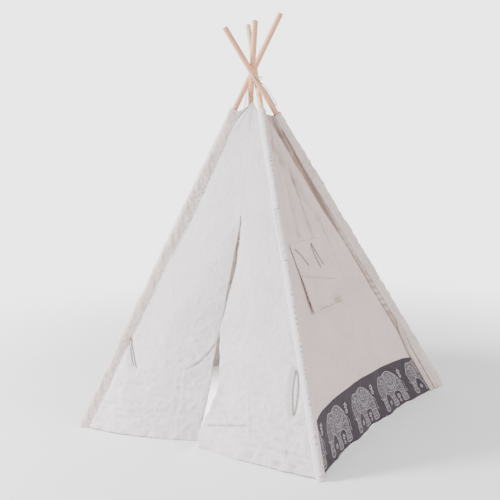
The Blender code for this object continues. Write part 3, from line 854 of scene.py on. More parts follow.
@dataclass(frozen=True)
class Pine:
    """Turned pine: long grain along the pole, with a few darker streaks."""

    name: str
    axis: tuple[float, float, float]
    centre: tuple[float, float, float]
    light: tuple[float, float, float]
    dark: tuple[float, float, float]

    def build(self) -> bpy.types.Material:
        """The wood's material, its grain turned to the pole's axis."""
        nodes = Nodes(self.name)
        upright = Vector(self.axis).rotation_difference(UP).to_matrix()
        shift = -(upright @ Vector(self.centre))
        source = nodes.add("ShaderNodeTexCoord").outputs["Object"]
        turned = nodes.mapped(source, Rotation=upright.to_euler(), Location=shift)
        grain = nodes.noise(nodes.mapped(turned, Scale=(160, 160, 5)), 1, 4, 0.4)
        broad = nodes.noise(nodes.mapped(turned, Scale=(45, 45, 2)), 1, 2)
        base = nodes.between(broad, self.dark, self.light, (0.35, 0.65))
        lines = nodes.between(grain, (0.80, 0.76, 0.72), (1, 1, 1), (0.36, 0.56))
        color = nodes.mixed("MULTIPLY", 0.8, base, lines)
        nodes.finish(color, Roughness=0.55, Specular_IOR_Level=0.35)
        nodes.bump(grain, 0.12, 0.0006)
        return nodes.material


@dataclass(frozen=True)
class Spun:
    """Brushed tube metal for the ferrules, or twisted cotton for cord and thread."""

    name: str
    light: tuple[float, float, float]
    dark: tuple[float, float, float]
    metallic: float
    roughness: float

    def build(self) -> bpy.types.Material:
        """The material."""
        nodes = Nodes(self.name)
        here = nodes.coordinates("Object")
        grain = nodes.noise(here, 420, 3)
        color = nodes.between(grain, self.dark, self.light, (0.35, 0.62))
        nodes.finish(color, Roughness=self.roughness, Metallic=self.metallic)
        nodes.bump(grain, 0.25, 0.0005)
        return nodes.material


# Each cloth: its light and dark tones, its crumple, and the colour of its painted shade in the
# folds, where given
FRONT_CANVAS = Canvas(
    "front_canvas", (0.80, 0.735, 0.745), (0.75, 0.685, 0.695), 0.60, (0.60, 0.56, 0.56)
)
WALL_CANVAS = Canvas(
    "wall_canvas", (0.76, 0.615, 0.58), (0.70, 0.56, 0.525), 0.45, (0.50, 0.40, 0.34)
)
SLEEVE_CANVAS = Canvas(
    "sleeve_canvas", (0.78, 0.655, 0.62), (0.70, 0.575, 0.54), 0.80, (0.44, 0.35, 0.31)
)
# The front's cloth with a darker painted shade, for the painted shadow along the patch's edges
PATCH_CANVAS = replace(FRONT_CANVAS, name="patch_canvas", painted_shade_color=(0.26, 0.23, 0.23))
# The cloth's inner faces in painted shade: a darker copy of the cloth, warmed as painted light that
# comes through it
SHADED_INSIDE_CANVAS = Canvas("shaded_inside_canvas", (0.56, 0.47, 0.43), (0.50, 0.415, 0.375), 0.30)
BAND_CLOTH = Canvas("band_cloth", (0.056, 0.041, 0.053), (0.040, 0.029, 0.038), 0.45)
PRINT_LINE = PrintInk("print_line", (0.52, 0.48, 0.51), (0.30, 0.27, 0.30), 260)
PRINT_GROUND = PrintInk("print_ground", (0.20, 0.178, 0.188), (0.070, 0.056, 0.066), 330)
# The cords' and knots' finish: darker than their off-white cotton, as painted shade along them
SHADED_CORD = Spun("shaded_cord", (0.36, 0.32, 0.26), (0.15, 0.13, 0.105), 0.0, 0.9)
STITCH_THREAD = Spun("stitch_thread", (0.82, 0.80, 0.79), (0.66, 0.63, 0.62), 0.0, 0.8)
FERRULE_METAL = Spun("ferrule_metal", (0.74, 0.75, 0.77), (0.60, 0.61, 0.63), 1.0, 0.35)


@lru_cache(maxsize=None)
def finish(kind) -> bpy.types.Material:
    """The material of a finish, made once."""
    return kind.build()


def dress(obj: bpy.types.Object, kind, shaded_inside=None) -> None:
    """Gives a piece its finish, and another one, in painted shade, to its faces that look at the
    tent's middle.

    Args:
        obj: the piece.
        kind: the finish.
        shaded_inside: the finish of those faces, if any: a darker copy of the cloth in painted
            shade.
    """
    obj.data.materials.clear()
    obj.data.materials.append(finish(kind))
    if shaded_inside is None:
        return
    obj.data.materials.append(finish(shaded_inside))
    for face in obj.data.polygons:
        if face.normal.dot(TENT_MIDDLE - face.center) > 0:
            face.material_index = 1


def cloth_piece(
    name: str,
    cells: tuple[int, int],
    place: Place,
    flat: tuple[float, float],
    kind: Canvas,
    shaded_inside: Canvas | None = None,
    painted_shade: PaintedShade | None = None,
    thickness: float = SIZES.cloth,
) -> bpy.types.Object:
    """A laid, thickened and dressed piece of cloth.

    Args:
        name: the piece's name.
        cells: its cells across and up.
        place: the point at shares (across, up).
        flat: width and height of the cut.
        kind: its finish.
        shaded_inside: the finish of its inner side, if another one: a darker copy in painted shade.
        painted_shade: how much lighter or darker the painted shade makes it at shares (across, up).
        thickness: the cloth's thickness.

    Returns:
        The piece, which doesn't ride a body yet.
    """
    obj = laid_grid(name, *cells, place, flat, painted_shade=painted_shade)
    thickened(obj, thickness)
    dress(obj, kind, shaded_inside)
    return obj


# Sub-assemblies


@dataclass
class PoleSet:
    """The jointed poles and their ferrules, which keep the model's own shapes."""

    parts: tuple[str, ...] = ("lower", "middle", "upper")
    joints: tuple[str, ...] = ("lower", "upper")
    warm: tuple = ((0.90, 0.50, 0.31), (0.80, 0.41, 0.24))
    pale: tuple = ((0.90, 0.66, 0.40), (0.82, 0.56, 0.32))

    def dress(self) -> None:
        """Gives each pole its wood, with the front right one paler, and each ferrule metal."""
        for corner, pole in POLES.items():
            tones = self.pale if corner is Corner.FRONT_RIGHT else self.warm
            wood = Pine(f"pine_{pole.label}", tuple(pole.axis), tuple(pole.foot), *tones)
            for part in self.parts:
                dress(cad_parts[f"pole_{pole.label}_{part}"], wood)
            for part in self.joints:
                dress(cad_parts[f"ferrule_{pole.label}_{part}"], FERRULE_METAL)
        log.info("poles: %d dressed", len(POLES) * len(self.parts))


@dataclass
class Sleeves:
    """The four closed-ended pole sleeves, each drawn out to its stitched seam."""

    around: int = 48
    along: int = 330
    pucker: float = 0.0024
    pucker_pitch: float = 0.019
    girth: float = 0.13
    weave_width: float = 0.125
    cloth: float = 0.0010
    foot_share: float = 0.012
    arc_share: float = 0.62
    swell: float = 0.0018
    wrinkle: float = 0.0032
    drawn_wrinkle: float = 0.0026
    light_sleeve_calm: float = 0.45
    mouth_groove: float = 0.0009
    mouth_hem: float = 0.014

    def outline(self, turn: float, tip: float) -> tuple[float, float]:
        """A teardrop's point (out, side): a circle drawn out to its tip."""
        radius = SIZES.sleeve_radius
        tip_radius = SIZES.sleeve_tip_radius
        meet = math.acos(min(1.0, (radius - tip_radius) / (tip - tip_radius)))
        angle = math.pi * (2 * turn - 1)
        size = abs(angle) / math.pi
        flank = 1 - self.arc_share
        if size >= flank:
            t = (size - flank) / self.arc_share
            a = lerp(meet, math.pi, t)
            out, side = radius * math.cos(a), radius * math.sin(a)
        else:
            t = size / flank
            start = (radius * math.cos(meet), radius * math.sin(meet))
            end = (tip - tip_radius + tip_radius * math.cos(meet), tip_radius * math.sin(meet))
            out, side = lerp(end[0], start[0], t), lerp(end[1], start[1], t)
        return out, math.copysign(side, angle)

    def place(self, pole: PoleLine, u: float, v: float) -> Vector:
        """A point of a sleeve; the first levels close its foot."""
        closing = min(1.0, v / self.foot_share)
        rise = (v - self.foot_share) / (1 - self.foot_share)
        distance = max(0.0, rise) * pole.sleeve_top
        tip = pole.reach(distance)
        out, side = self.outline(u, tip)
        towards = pole.across(pole.partner)
        sideways = pole.axis.cross(towards)
        here = pole.at(distance) + (towards * out + sideways * side) * closing
        if distance <= SIZES.sleeve_radius:
            return here - pole.axis * ((here.z - 0.0007 - distance * 0.6) / pole.axis.z)
        seam_share = max(0.0, out / tip)
        crimp = math.sin(math.tau * distance / self.pucker_pitch + 9 * ruffle(here, 8))
        crimp *= self.pucker * seam_share**3 * ease(-0.25, 0.40, ruffle(here, 6, 3))
        roll = (here - pole.at(distance)).normalized()
        swell = self.swell * (1 + ruffle(here, 13, 7)) + self.wrinkle * crease(here, 30, 2)
        drawn = Vector((3.2 * u, distance * 30 + 5 * u, pole.foot.x))
        uneven = ease(-0.35, 0.25, ruffle(here, 5, 11))
        swell += self.drawn_wrinkle * crease(drawn, 1, 4) * uneven
        calm = self.light_sleeve_calm if pole is POLES[Corner.FRONT_RIGHT] else 1
        swell *= clear_of_cords(here) * calm
        swell -= self.mouth_groove * bell(distance, pole.sleeve_top - self.mouth_hem, 0.003)
        return here + sideways * crimp * (1 if side >= 0 else -1) + roll * swell

    def build(self) -> None:
        """Builds, dresses and hangs the four sleeves."""
        for corner, pole in POLES.items():
            length = pole.sleeve_top
            obj = laid_grid(
                f"sleeve_{pole.label}_cloth",
                self.around,
                self.along,
                lambda u, v, pole=pole: self.place(pole, u, v),
                (self.weave_width, length),
                True,
            )
            weld = obj.modifiers.new("weld", "WELD")
            weld.merge_threshold = 0.00002
            apply_modifier(obj, weld.name)
            make_active(obj)
            bpy.ops.object.mode_set(mode="EDIT")
            bpy.ops.mesh.select_all(action="SELECT")
            bpy.ops.mesh.normals_make_consistent(inside=False)
            bpy.ops.object.mode_set(mode="OBJECT")
            thickened(obj, self.cloth, -1)
            dress(obj, FRONT_CANVAS if corner is Corner.FRONT_RIGHT else SLEEVE_CANVAS)
            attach(obj, "front_frame" if pole.front else "rear_frame")
            flat = (self.girth, length)
            stand_for(obj, [f"sleeve_{pole.label}"], flat)


# The folds beside a wall's rear seam, high up and low down: depth, distance from it and reach
DEEP_FOLDS = ((-0.016, 0.026, 0.018), (0.007, 0.082, 0.026), (-0.003, 0.125, 0.020))
LOW_FOLD = (-0.006, 0.020, 0.013)


def wall_field(start: Corner, end: Corner, bow: float) -> SideWall:
    """A sub-assembly's own wall, made when the sub-assembly is."""
    return field(default_factory=lambda: SideWall(start, end, bow))


@dataclass
class ClosedWalls:
    """The right, back and left walls, with the window cut in the right one."""

    cells: tuple[int, int] = (132, 150)
    window_inset: float = 0.022
    fold: float = 0.0032
    fold_pitch: float = 0.225
    streak_depth: float = 0.0022
    swell: float = 0.0034
    crumple: float = 0.0012
    pucker: float = 0.0026
    pucker_pitch: float = 0.037
    pucker_reach: float = 0.020
    lap: float = 0.006
    lap_lift: float = 0.0023
    tuck: float = 0.0018
    slant: float = 1.09
    right: SideWall = wall_field(Corner.FRONT_RIGHT, Corner.REAR_RIGHT, SIZES.side_bow)
    back: SideWall = wall_field(Corner.REAR_RIGHT, Corner.REAR_LEFT, SIZES.back_bow)
    left: SideWall = wall_field(Corner.REAR_LEFT, Corner.FRONT_LEFT, SIZES.side_bow)

    def relief(self, wall: SideWall, share: float, level: float, place: Vector) -> float:
        """How far the cloth stands off the smooth wall, outwards."""
        edge = min(share, 1 - share)
        inner = ease(0.0, 0.06, edge)
        fan = math.cos(math.tau * (share - 0.30 + 0.012 * ruffle(place, 3, 4)) / self.fold_pitch)
        out = -self.fold * fan * ease(0.45, 0.80, level) * inner
        out -= self.streak_depth * self.streak(share, level) * ease(0.25, 0.60, level) * inner
        out += self.swell * ruffle(place, 5, 1) * inner
        out += self.crumple * (crease(place, 13, 6) + 0.6 * crease(place, 31, 8)) * inner
        seam = self.from_seam(wall, share, level)
        out += self.valley(seam, level) * ease(0, 0.004, seam)
        crimp = math.sin(math.tau * place.z / self.pucker_pitch + 9 * ruffle(place, 6, 2))
        crimp *= self.pucker
        crimp *= ease(-0.25, 0.45, ruffle(place, 5, 7)) * ease(0.70, 0.50, level)
        return out + crimp * math.exp(-seam / self.pucker_reach) * ease(0.0, 0.006, seam)

    def from_seam(self, wall: SideWall, share: float, level: float) -> float:
        """How far a point is from the wall's rear sleeve, in metres."""
        near, far, _ = wall.edges(level)
        return (share if wall is not self.right else 1 - share) * (far - near).length

    @staticmethod
    def streak(share: float, level: float) -> float:
        """The long soft folds up the wall, from -1 to 1."""
        return ruffle(Vector((share * 16, level * 1.6, 0)), 1, 3)

    @staticmethod
    def valley(seam: float, level: float) -> float:
        """The deep fold beside the rear sleeve, and the soft ones next to it."""
        deep = ease(0.56, 0.74, level)
        out = 0.0
        for depth, middle, reach in DEEP_FOLDS:
            out += depth * deep * bell(seam, middle, reach)
        depth, middle, reach = LOW_FOLD
        return out + depth * (1 - deep) * bell(seam, middle, reach)

    def painted_shade(self, wall: SideWall, share: float, level: float) -> float:
        """The shadow of the deep fold, the fan folds, the streaks and the rear seam's puckers."""
        seam = self.from_seam(wall, share, level)
        deep = ease(0.55, 0.72, level)
        low = ease(0.10, 0.25, level) * (1 - deep)
        shadow = 0.44 * deep * bell(seam, 0.014, 0.030) * ease(1.0, 0.93, level)
        shadow += 0.10 * deep * bell(seam, 0.110, 0.018)
        for middle in (0.30, 0.525):
            line = 0.13 * bell(share, middle, 0.024)
            shadow += line * ease(0.48, 0.62, level) * ease(0.86, 0.76, level)
        shadow += 0.16 * max(0.0, self.streak(share, level)) * ease(0.30, 0.62, level)
        ragged = 0.5 + 0.9 * ruffle(Vector((share * 3, 0, level)), 11, 4)
        return -shadow - 0.17 * low * bell(seam, 0.008, 0.016) * max(0.0, ragged)

    def place(self, wall: SideWall, share: float, level: float) -> Vector:
        """A point of a wall's cloth, lapped over a sleeve's seam or tucked to its round."""
        point = wall.point(share, level)
        out = self.relief(wall, share, level, point)
        near, far, _ = wall.edges(level)
        along = (far - near).normalized()
        for edge, way, pole, other in (
            (share, -1, wall.start, wall.end),
            (1 - share, 1, wall.end, wall.start),
        ):
            sewn = pole.partner is other
            reach = self.lap if sewn else self.tuck
            point = point + along * (way * reach * ease(0.02, 0.0, edge))
            if sewn:
                out += self.lap_lift * ease(0.034, 0.014, edge)
        return point - wall.inward * out

    def cut_window(self, obj: bpy.types.Object, window: WindowFlap) -> None:
        """Cuts the opening behind the flap."""
        side = self.window_inset / window.width
        rim = self.window_inset / window.length
        deselect()
        bpy.ops.mesh.primitive_cube_add(size=2)
        cutter = bpy.context.object
        for vert in cutter.data.vertices:
            share = side if vert.co.x < 0 else 1 - side
            rise = rim if vert.co.y < 0 else 1 - rim
            depth = math.copysign(SIZES.side_bow, vert.co.z)
            vert.co = window.on_wall(share, rise) + window.out * depth
        hole = obj.modifiers.new("window", "BOOLEAN")
        hole.operation = "DIFFERENCE"
        hole.solver = "EXACT"
        hole.object = cutter
        apply_modifier(obj, hole.name)
        bpy.data.objects.remove(cutter)

    def by_label(self) -> tuple[tuple[str, SideWall], ...]:
        """The three walls with their labels."""
        return ("right", self.right), ("back", self.back), ("left", self.left)

    def build(self, window: WindowFlap) -> None:
        """Builds, cuts, dresses and hangs the three walls."""
        for label, wall in self.by_label():
            obj = cloth_piece(
                f"{label}_wall_cloth",
                self.cells,
                lambda u, v, wall=wall: self.place(wall, u, v),
                (wall.width, SIZES.rear_sleeve_top),
                WALL_CANVAS,
                SHADED_INSIDE_CANVAS,
                lambda u, v, wall=wall: self.painted_shade(wall, u, v),
            )
            if label == "right":
                self.cut_window(obj, window)
            flat = (wall.width, SIZES.rear_sleeve_top * self.slant)
            stand_for(obj, [f"{label}_panel"], flat)
            self.hang(obj, label)

    @staticmethod
    def hang(obj: bpy.types.Object, label: str) -> None:
        """The back rides the rear frame; a side wall stays in place."""
        if label == "back":
            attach(obj, "rear_frame")
        else:
            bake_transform(obj)


@dataclass
class DoorFront:
    """The front's two halves, each in one cloth with the flap that folds back beside the slit."""

    cells: tuple[int, int] = (100, 240)
    turn_width: float = 0.014
    lap: float = 0.006
    lap_lift: float = 0.0023
    flat: tuple[float, float] = (0.60, 1.42)
    swell: float = 0.0046
    fine_swell: float = 0.0040
    crease_depth: float = 0.0024
    fine_crease: float = 0.0020
    foot_crease: float = 0.0046
    hem_wave: float = 0.0016
    pucker_pitch: float = 0.015
    left_pucker: float = 0.0014
    right_pucker: float = 0.0019
    gather_depth: float = 0.0055
    wall: FrontWall = field(default_factory=FrontWall)

    def relief(self, side: int, share: float, level: float, place: Vector) -> float:
        """How far the cloth stands off the smooth front, outwards."""
        inner = ease(0.0, 0.05, share)
        low = ease(0.60, 0.05, level)
        stretched = Vector((place.x * 2.0, place.y, place.z * 0.8))
        swell = self.swell * ruffle(stretched, 3.0, side)
        out = (swell + self.fine_swell * ruffle(place, 7, 3 + side)) * inner
        slant = Vector((place.x * 0.8 + place.z * 0.5, place.y, place.z * 1.5 - place.x * 0.4))
        out += self.crease_depth * crease(slant, 9, 2 + side) * (0.3 + low) * inner
        out += self.fine_crease * crease(slant, 22, 5 + side) * (0.4 + low) * inner
        pulled = Vector((place.x * 0.35, place.y, place.z * 2.2))
        near_foot = ease(0.34, 0.02, level) * ease(0.75, 0.05, share)
        out += self.foot_crease * crease(pulled, 18, 9 + side) * near_foot * inner
        hem = ease(0.035, 0.0, level)
        out += self.hem_wave * math.sin(math.tau * (5 * share + 0.8 * ruffle(place, 5))) * hem
        crimp = math.sin(math.tau * place.z / self.pucker_pitch + 5 * ruffle(place, 9, 5))
        strength = self.right_pucker if side > 0 else self.left_pucker
        out += strength * crimp * math.exp(-share / 0.03) * ease(0, 0.01, share)
        out += self.gather(side, place) * ease(0.0, 0.08, share)
        out += self.lap_lift * ease(0.036, 0.015, share)
        out += self.flap_crease(share, level) if side > 0 else self.drape(share, level)
        sewn = ease(0.655, 0.675, level) * ease(0.86, 1.0, share)
        return lerp(out, self.gather(side, place) * 0.3, sewn) * clear_of_cords(place)

    def gather(self, side: int, place: Vector) -> float:
        """Folds that run out from the peak, where the cord draws the cloth up."""
        way = place - self.wall.peak
        reach = way.length
        angle = math.atan2(way.x, -way.z)
        folds = math.sin(13 * angle + 1.1) * 0.6 + math.sin(23 * angle) * 0.4
        left = 0.12 + 0.88 * ease(-0.30, -0.85, angle)
        near = ease(0.26, 0.02, reach)
        return self.gather_depth * folds * left * near * ease(0.0, 0.03, reach)

    @staticmethod
    def over_fold(share: float, level: float) -> float:
        """How many levels a point is above the curve of the left flap's soft fold."""
        past = share - 0.768
        return level - 0.219 - 0.16 * past - 0.80 * past * past

    @staticmethod
    def drape(share: float, level: float) -> float:
        """The soft fold that hangs from the left flap's edge, and the creases below it."""
        line = DoorFront.over_fold(share, level)
        along = ease(0.60, 0.86, share) * ease(1.0, 0.96, share)
        fold = 0.0026 * bell(line, 0.008, 0.008) - 0.0018 * bell(line, -0.005, 0.005)
        upright = bell(share, 0.773 - 0.40 * (level - 0.104), 0.014)
        upright += 0.7 * bell(share, 0.700 - 0.30 * (level - 0.104), 0.012)
        low = ease(0.26, 0.20, level) * ease(0.03, 0.09, level)
        return fold * along + 0.0016 * upright * low

    def painted_shade(self, side: int, u: float, v: float) -> float:
        """Painted shade: the thin shadows of the flaps' creases, and soft streaks of shade high up
        the front.
        """
        share = u if side < 0 else 1 - u
        streak = ruffle(Vector((share * 9, v * 1.8, side)), 1, 5)
        hung = 0.12 * max(0.0, streak) * ease(0.50, 0.75, v) * ease(1.0, 0.95, share)
        if side > 0:
            across = ease(0.56, 0.66, share) * ease(1.0, 0.97, share)
            upright = bell(share, 0.550 + 0.73 * (v - 0.077), 0.006)
            upright *= ease(0.05, 0.08, v) * ease(0.19, 0.15, v)
            pressed = 0.22 * bell(v, 0.077 + 0.07 * (0.895 - share), 0.003) * across
            return -pressed - 0.16 * upright - hung
        along = ease(0.66, 0.86, share) * ease(1.0, 0.97, share)
        return -0.30 * bell(self.over_fold(share, v), -0.002, 0.003) * along - hung

    @staticmethod
    def flap_crease(share: float, level: float) -> float:
        """The pressed crease across the right flap's foot, an upright one, and its turned edge."""
        across = ease(0.52, 0.62, share) * ease(1.0, 0.93, share)
        line = level - 0.077 - 0.07 * (0.895 - share)
        ridge = 0.0036 * bell(line, 0.003, 0.004) - 0.0026 * bell(line, -0.006, 0.004)
        upright = bell(share, 0.550 + 0.73 * (level - 0.077), 0.012)
        upright *= ease(0.04, 0.07, level) * ease(0.21, 0.17, level)
        turned = ease(0.93, 1.0, share) * bell(level, 0.12, 0.05)
        return ridge * across + 0.0030 * upright + 0.006 * turned

    def place(self, side: int, u: float, v: float) -> Vector:
        """A point of one half; u runs left to right."""
        share = u if side < 0 else 1 - u
        point = self.wall.point(side, share, v)
        point = point + self.wall.way * (side * self.lap * ease(0.025, 0.0, share))
        return point - self.wall.inward * self.relief(side, share, v, point)

    def build(self) -> None:
        """Builds, dresses and hangs the two halves."""
        for side, label in ((-1, "left"), (1, "right")):
            obj = cloth_piece(
                f"front_{label}_cloth",
                self.cells,
                lambda u, v, side=side: self.place(side, u, v),
                (SIZES.base_width / 2, SIZES.front_sleeve_top),
                FRONT_CANVAS,
                SHADED_INSIDE_CANVAS,
                lambda u, v, side=side: self.painted_shade(side, u, v),
            )
            self.hang(obj, side, label)

    def hang(self, obj: bpy.types.Object, side: int, label: str) -> None:
        """The half stays with the frame."""
        foot = self.wall.fold_foot(side)
        along = (self.wall.slit_top - foot).normalized()
        across = self.wall.way * -side
        across = (across - along * across.dot(along)).normalized()
        start = lerp(foot, self.wall.slit_top, 0.5)
        nodes = [f"front_{label}_panel", f"door_flap_{label}"]
        stand_for(obj, nodes, self.flat)
        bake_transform(obj)


@dataclass
class WindowFlap:
    """The flap over the window, hemmed on three sides and sewn along its top edge."""

    wall: SideWall
    offset: float = 0.090
    width: float = 0.264
    top: float = 0.745
    foot: float = 0.488
    lift: float = 0.0021
    hem: float = 0.011
    cells: tuple[int, int] = (84, 84)
    flat: tuple[float, float] = (0.28, 0.29)

    def __post_init__(self) -> None:
        """Finds the flap's length and its ways along and out of the wall."""
        corners = [self.on_wall(s, r) for r in (0, 1) for s in (0, 1)]
        self.along = (corners[3] - corners[2]).normalized()
        up = (corners[2] + corners[3] - corners[0] - corners[1]) / 2
        self.length = up.length
        self.out = self.along.cross(up).normalized()

    def on_wall(self, share: float, rise: float) -> Vector:
        """A point of the smooth wall inside the flap's outline."""
        level = self.wall.level(lerp(self.foot, self.top, rise))
        y = -self.offset + self.width * (share - 0.5)
        return self.wall.point(self.wall.share_at(y, level), level)

    def place(self, u: float, v: float) -> Vector:
        """A point of the flap's cloth."""
        point = self.on_wall(u, v)
        hung = ease(1.0, 0.8, v)
        edge = min(u, 1 - u) * self.width
        rim = min(edge, v * self.length)
        hem = 0.0007 * ease(self.hem, self.hem * 0.8, rim)
        loose = ease(0.12, 0.0, u) * hung * (0.0008 + 0.0024 * bell(v, 0.64, 0.07))
        loose += 0.0060 * ease(0.88, 1.0, u) * ease(0.30, 0.0, v)
        loose += 0.0050 * ease(0.16, 0.0, u) * ease(0.12, 0.0, v)
        waves = math.sin(math.tau * (2.3 * u + 0.3 * v + 0.3 * ruffle(point, 5, 2)))
        loose += 0.0026 * (1 + waves) * hung * ease(0.62, 0.30, v)
        line = v - 0.56 + 0.21 * u
        loose += (0.0014 * bell(line, 0.020, 0.020) - 0.0009 * bell(line, -0.014, 0.018)) * hung
        loose += 0.0016 * bell(v, self.sag(u), 0.014) * ease(0.5, 0.4, u)
        loose += 0.0040 * ease(0.84, 1.0, u) * ease(0.16, 0.0, v)
        loose += 0.0014 * (1 + ruffle(point, 14, 3)) * hung
        loose += 0.0016 * crease(point, 24, 4) * hung
        free = clear_of_cords(point)
        drift = 0.0022 * ruffle(point, 9, 9) * ease(0.014, 0.0, edge)
        drift += 0.0022 * ease(0.06, 0.0, u) * ease(0.68, 0.62, v) * ease(0.0, 0.15, v)
        return point + self.out * (self.lift + hem * free + loose * free) + self.along * drift

    @staticmethod
    def sag(u: float) -> float:
        """The rise of the fold that sags below the flap's upper seam."""
        return 0.955 - 0.09 * math.sin(math.pi * min(1.0, u / 0.45))

    def painted_shade(self, u: float, v: float) -> float:
        """The shadows of the flap's sag, folds, drawn-in foot and turned left edge."""
        shadow = 0.14 * bell(v, self.sag(u), 0.010) * ease(0.5, 0.4, u)
        shadow += 0.10 * bell(v, 0.54 - 0.21 * u, 0.014)
        for middle in (0.34, 0.62, 0.80):
            shadow += 0.09 * bell(u, middle + 0.03 * v, 0.018) * ease(0.55, 0.30, v)
        shadow += 0.28 * bell(u, 0.86, 0.10) * bell(v, 0.03, 0.045)
        shadow += 0.20 * bell(u, 0.42, 0.16) * bell(v, 0.0, 0.035)
        shadow += 0.22 * ease(0.040, 0.024, u) * ease(0.66, 0.56, v)
        return -shadow

    def build(self) -> None:
        """Builds, dresses and hangs the flap."""
        grid = ("window_flap_cloth", self.cells, self.place, (self.width, self.length))
        obj = cloth_piece(*grid, WALL_CANVAS, SHADED_INSIDE_CANVAS, self.painted_shade)
        hang_on(obj, "window_flap")
        stand_for(obj, ["window_flap"], self.flat)


class Stroke(Enum):
    """How a line of the printed elephant is drawn."""

    BOLD = 0.0025
    FINE = 0.0019


# One printed elephant, in shares of its height: x towards its tail, y up
BODY_SHARES = (
    (0.07, 0.82), (0.16, 0.93), (0.28, 0.98), (0.42, 0.95), (0.58, 0.99), (0.78, 1.02),
    (0.98, 0.96), (1.16, 0.83), (1.28, 0.66), (1.33, 0.46), (1.33, 0.26), (1.36, 0.10),
    (1.34, 0.01), (1.14, 0.01), (1.13, 0.18), (1.08, 0.34), (0.94, 0.38), (0.80, 0.36),
    (0.78, 0.22), (0.84, 0.08), (0.83, 0.00), (0.61, 0.00), (0.60, 0.16), (0.54, 0.34),
    (0.44, 0.43), (0.33, 0.43), (0.26, 0.32), (0.22, 0.18), (0.25, 0.08), (0.18, 0.01),
    (0.06, 0.03), (0.05, 0.16), (0.06, 0.34), (0.02, 0.52), (0.00, 0.68),
)
LINE_SHARES = (
    (
        (0.30, 0.87), (0.42, 0.81), (0.47, 0.66), (0.42, 0.51), (0.33, 0.48), (0.27, 0.58),
        (0.26, 0.74), (0.30, 0.87),
    ),
    ((0.33, 0.77), (0.40, 0.70), (0.39, 0.59), (0.33, 0.56)),
    ((0.11, 0.88), (0.15, 0.79), (0.23, 0.80), (0.27, 0.95)),
    (
        (0.52, 0.96), (0.54, 0.76), (0.62, 0.57), (0.78, 0.49), (0.98, 0.53), (1.12, 0.67),
        (1.16, 0.82),
    ),
    (
        (0.57, 0.98), (0.59, 0.79), (0.66, 0.63), (0.79, 0.56), (0.96, 0.60), (1.06, 0.72),
        (1.08, 0.88),
    ),
    ((0.65, 0.99), (0.68, 0.82), (0.75, 0.71), (0.86, 0.69), (0.95, 0.78), (0.97, 0.95)),
    (
        (0.75, 0.88), (0.81, 0.94), (0.88, 0.88), (0.87, 0.79), (0.80, 0.76), (0.75, 0.80),
        (0.75, 0.88),
    ),
    ((0.50, 0.47), (0.70, 0.42), (0.95, 0.44), (1.24, 0.54)),
    ((1.20, 0.74), (1.26, 0.58), (1.27, 0.40)),
    ((0.61, 0.08), (0.83, 0.09)), ((0.60, 0.15), (0.80, 0.16)), ((0.57, 0.27), (0.79, 0.27)),
    ((1.14, 0.08), (1.35, 0.08)), ((1.13, 0.15), (1.34, 0.15)), ((1.11, 0.28), (1.33, 0.27)),
    ((0.05, 0.14), (0.23, 0.15)), ((0.06, 0.24), (0.23, 0.25)), ((0.06, 0.34), (0.27, 0.35)),
    ((0.20, 0.44), (0.12, 0.37), (0.02, 0.37), (-0.05, 0.43)),
    ((1.32, 0.62), (1.41, 0.50), (1.42, 0.32)), ((1.42, 0.32), (1.38, 0.22)),
    ((1.42, 0.32), (1.45, 0.22)),
)
DOT_SHARES = (
    (0.15, 0.69), (0.33, 0.66), (0.10, 0.60), (0.13, 0.51), (0.20, 0.60), (0.56, 0.90),
    (0.58, 0.73), (0.65, 0.60), (0.72, 0.54), (0.80, 0.52), (0.88, 0.53), (0.97, 0.57),
    (1.05, 0.63), (1.10, 0.72), (1.12, 0.82), (0.63, 0.86), (0.67, 0.73), (0.74, 0.65),
    (0.84, 0.62), (0.94, 0.67), (1.01, 0.76), (1.02, 0.90), (0.81, 0.85), (0.66, 0.21),
    (0.72, 0.21), (1.19, 0.21), (1.27, 0.21), (0.13, 0.19), (0.14, 0.29), (0.70, 0.34),
    (1.20, 0.36), (1.27, 0.34), (0.69, 0.46), (1.08, 0.52), (1.19, 0.62),
)
# Each blossom's middle and the reach of its petals
BLOSSOM_SHARES = (
    (1.40, 0.86, 0.055), (1.40, 0.72, 0.045), (0.42, 0.16, 0.045), (0.97, 0.20, 0.050),
    (0.99, 0.06, 0.035),
)


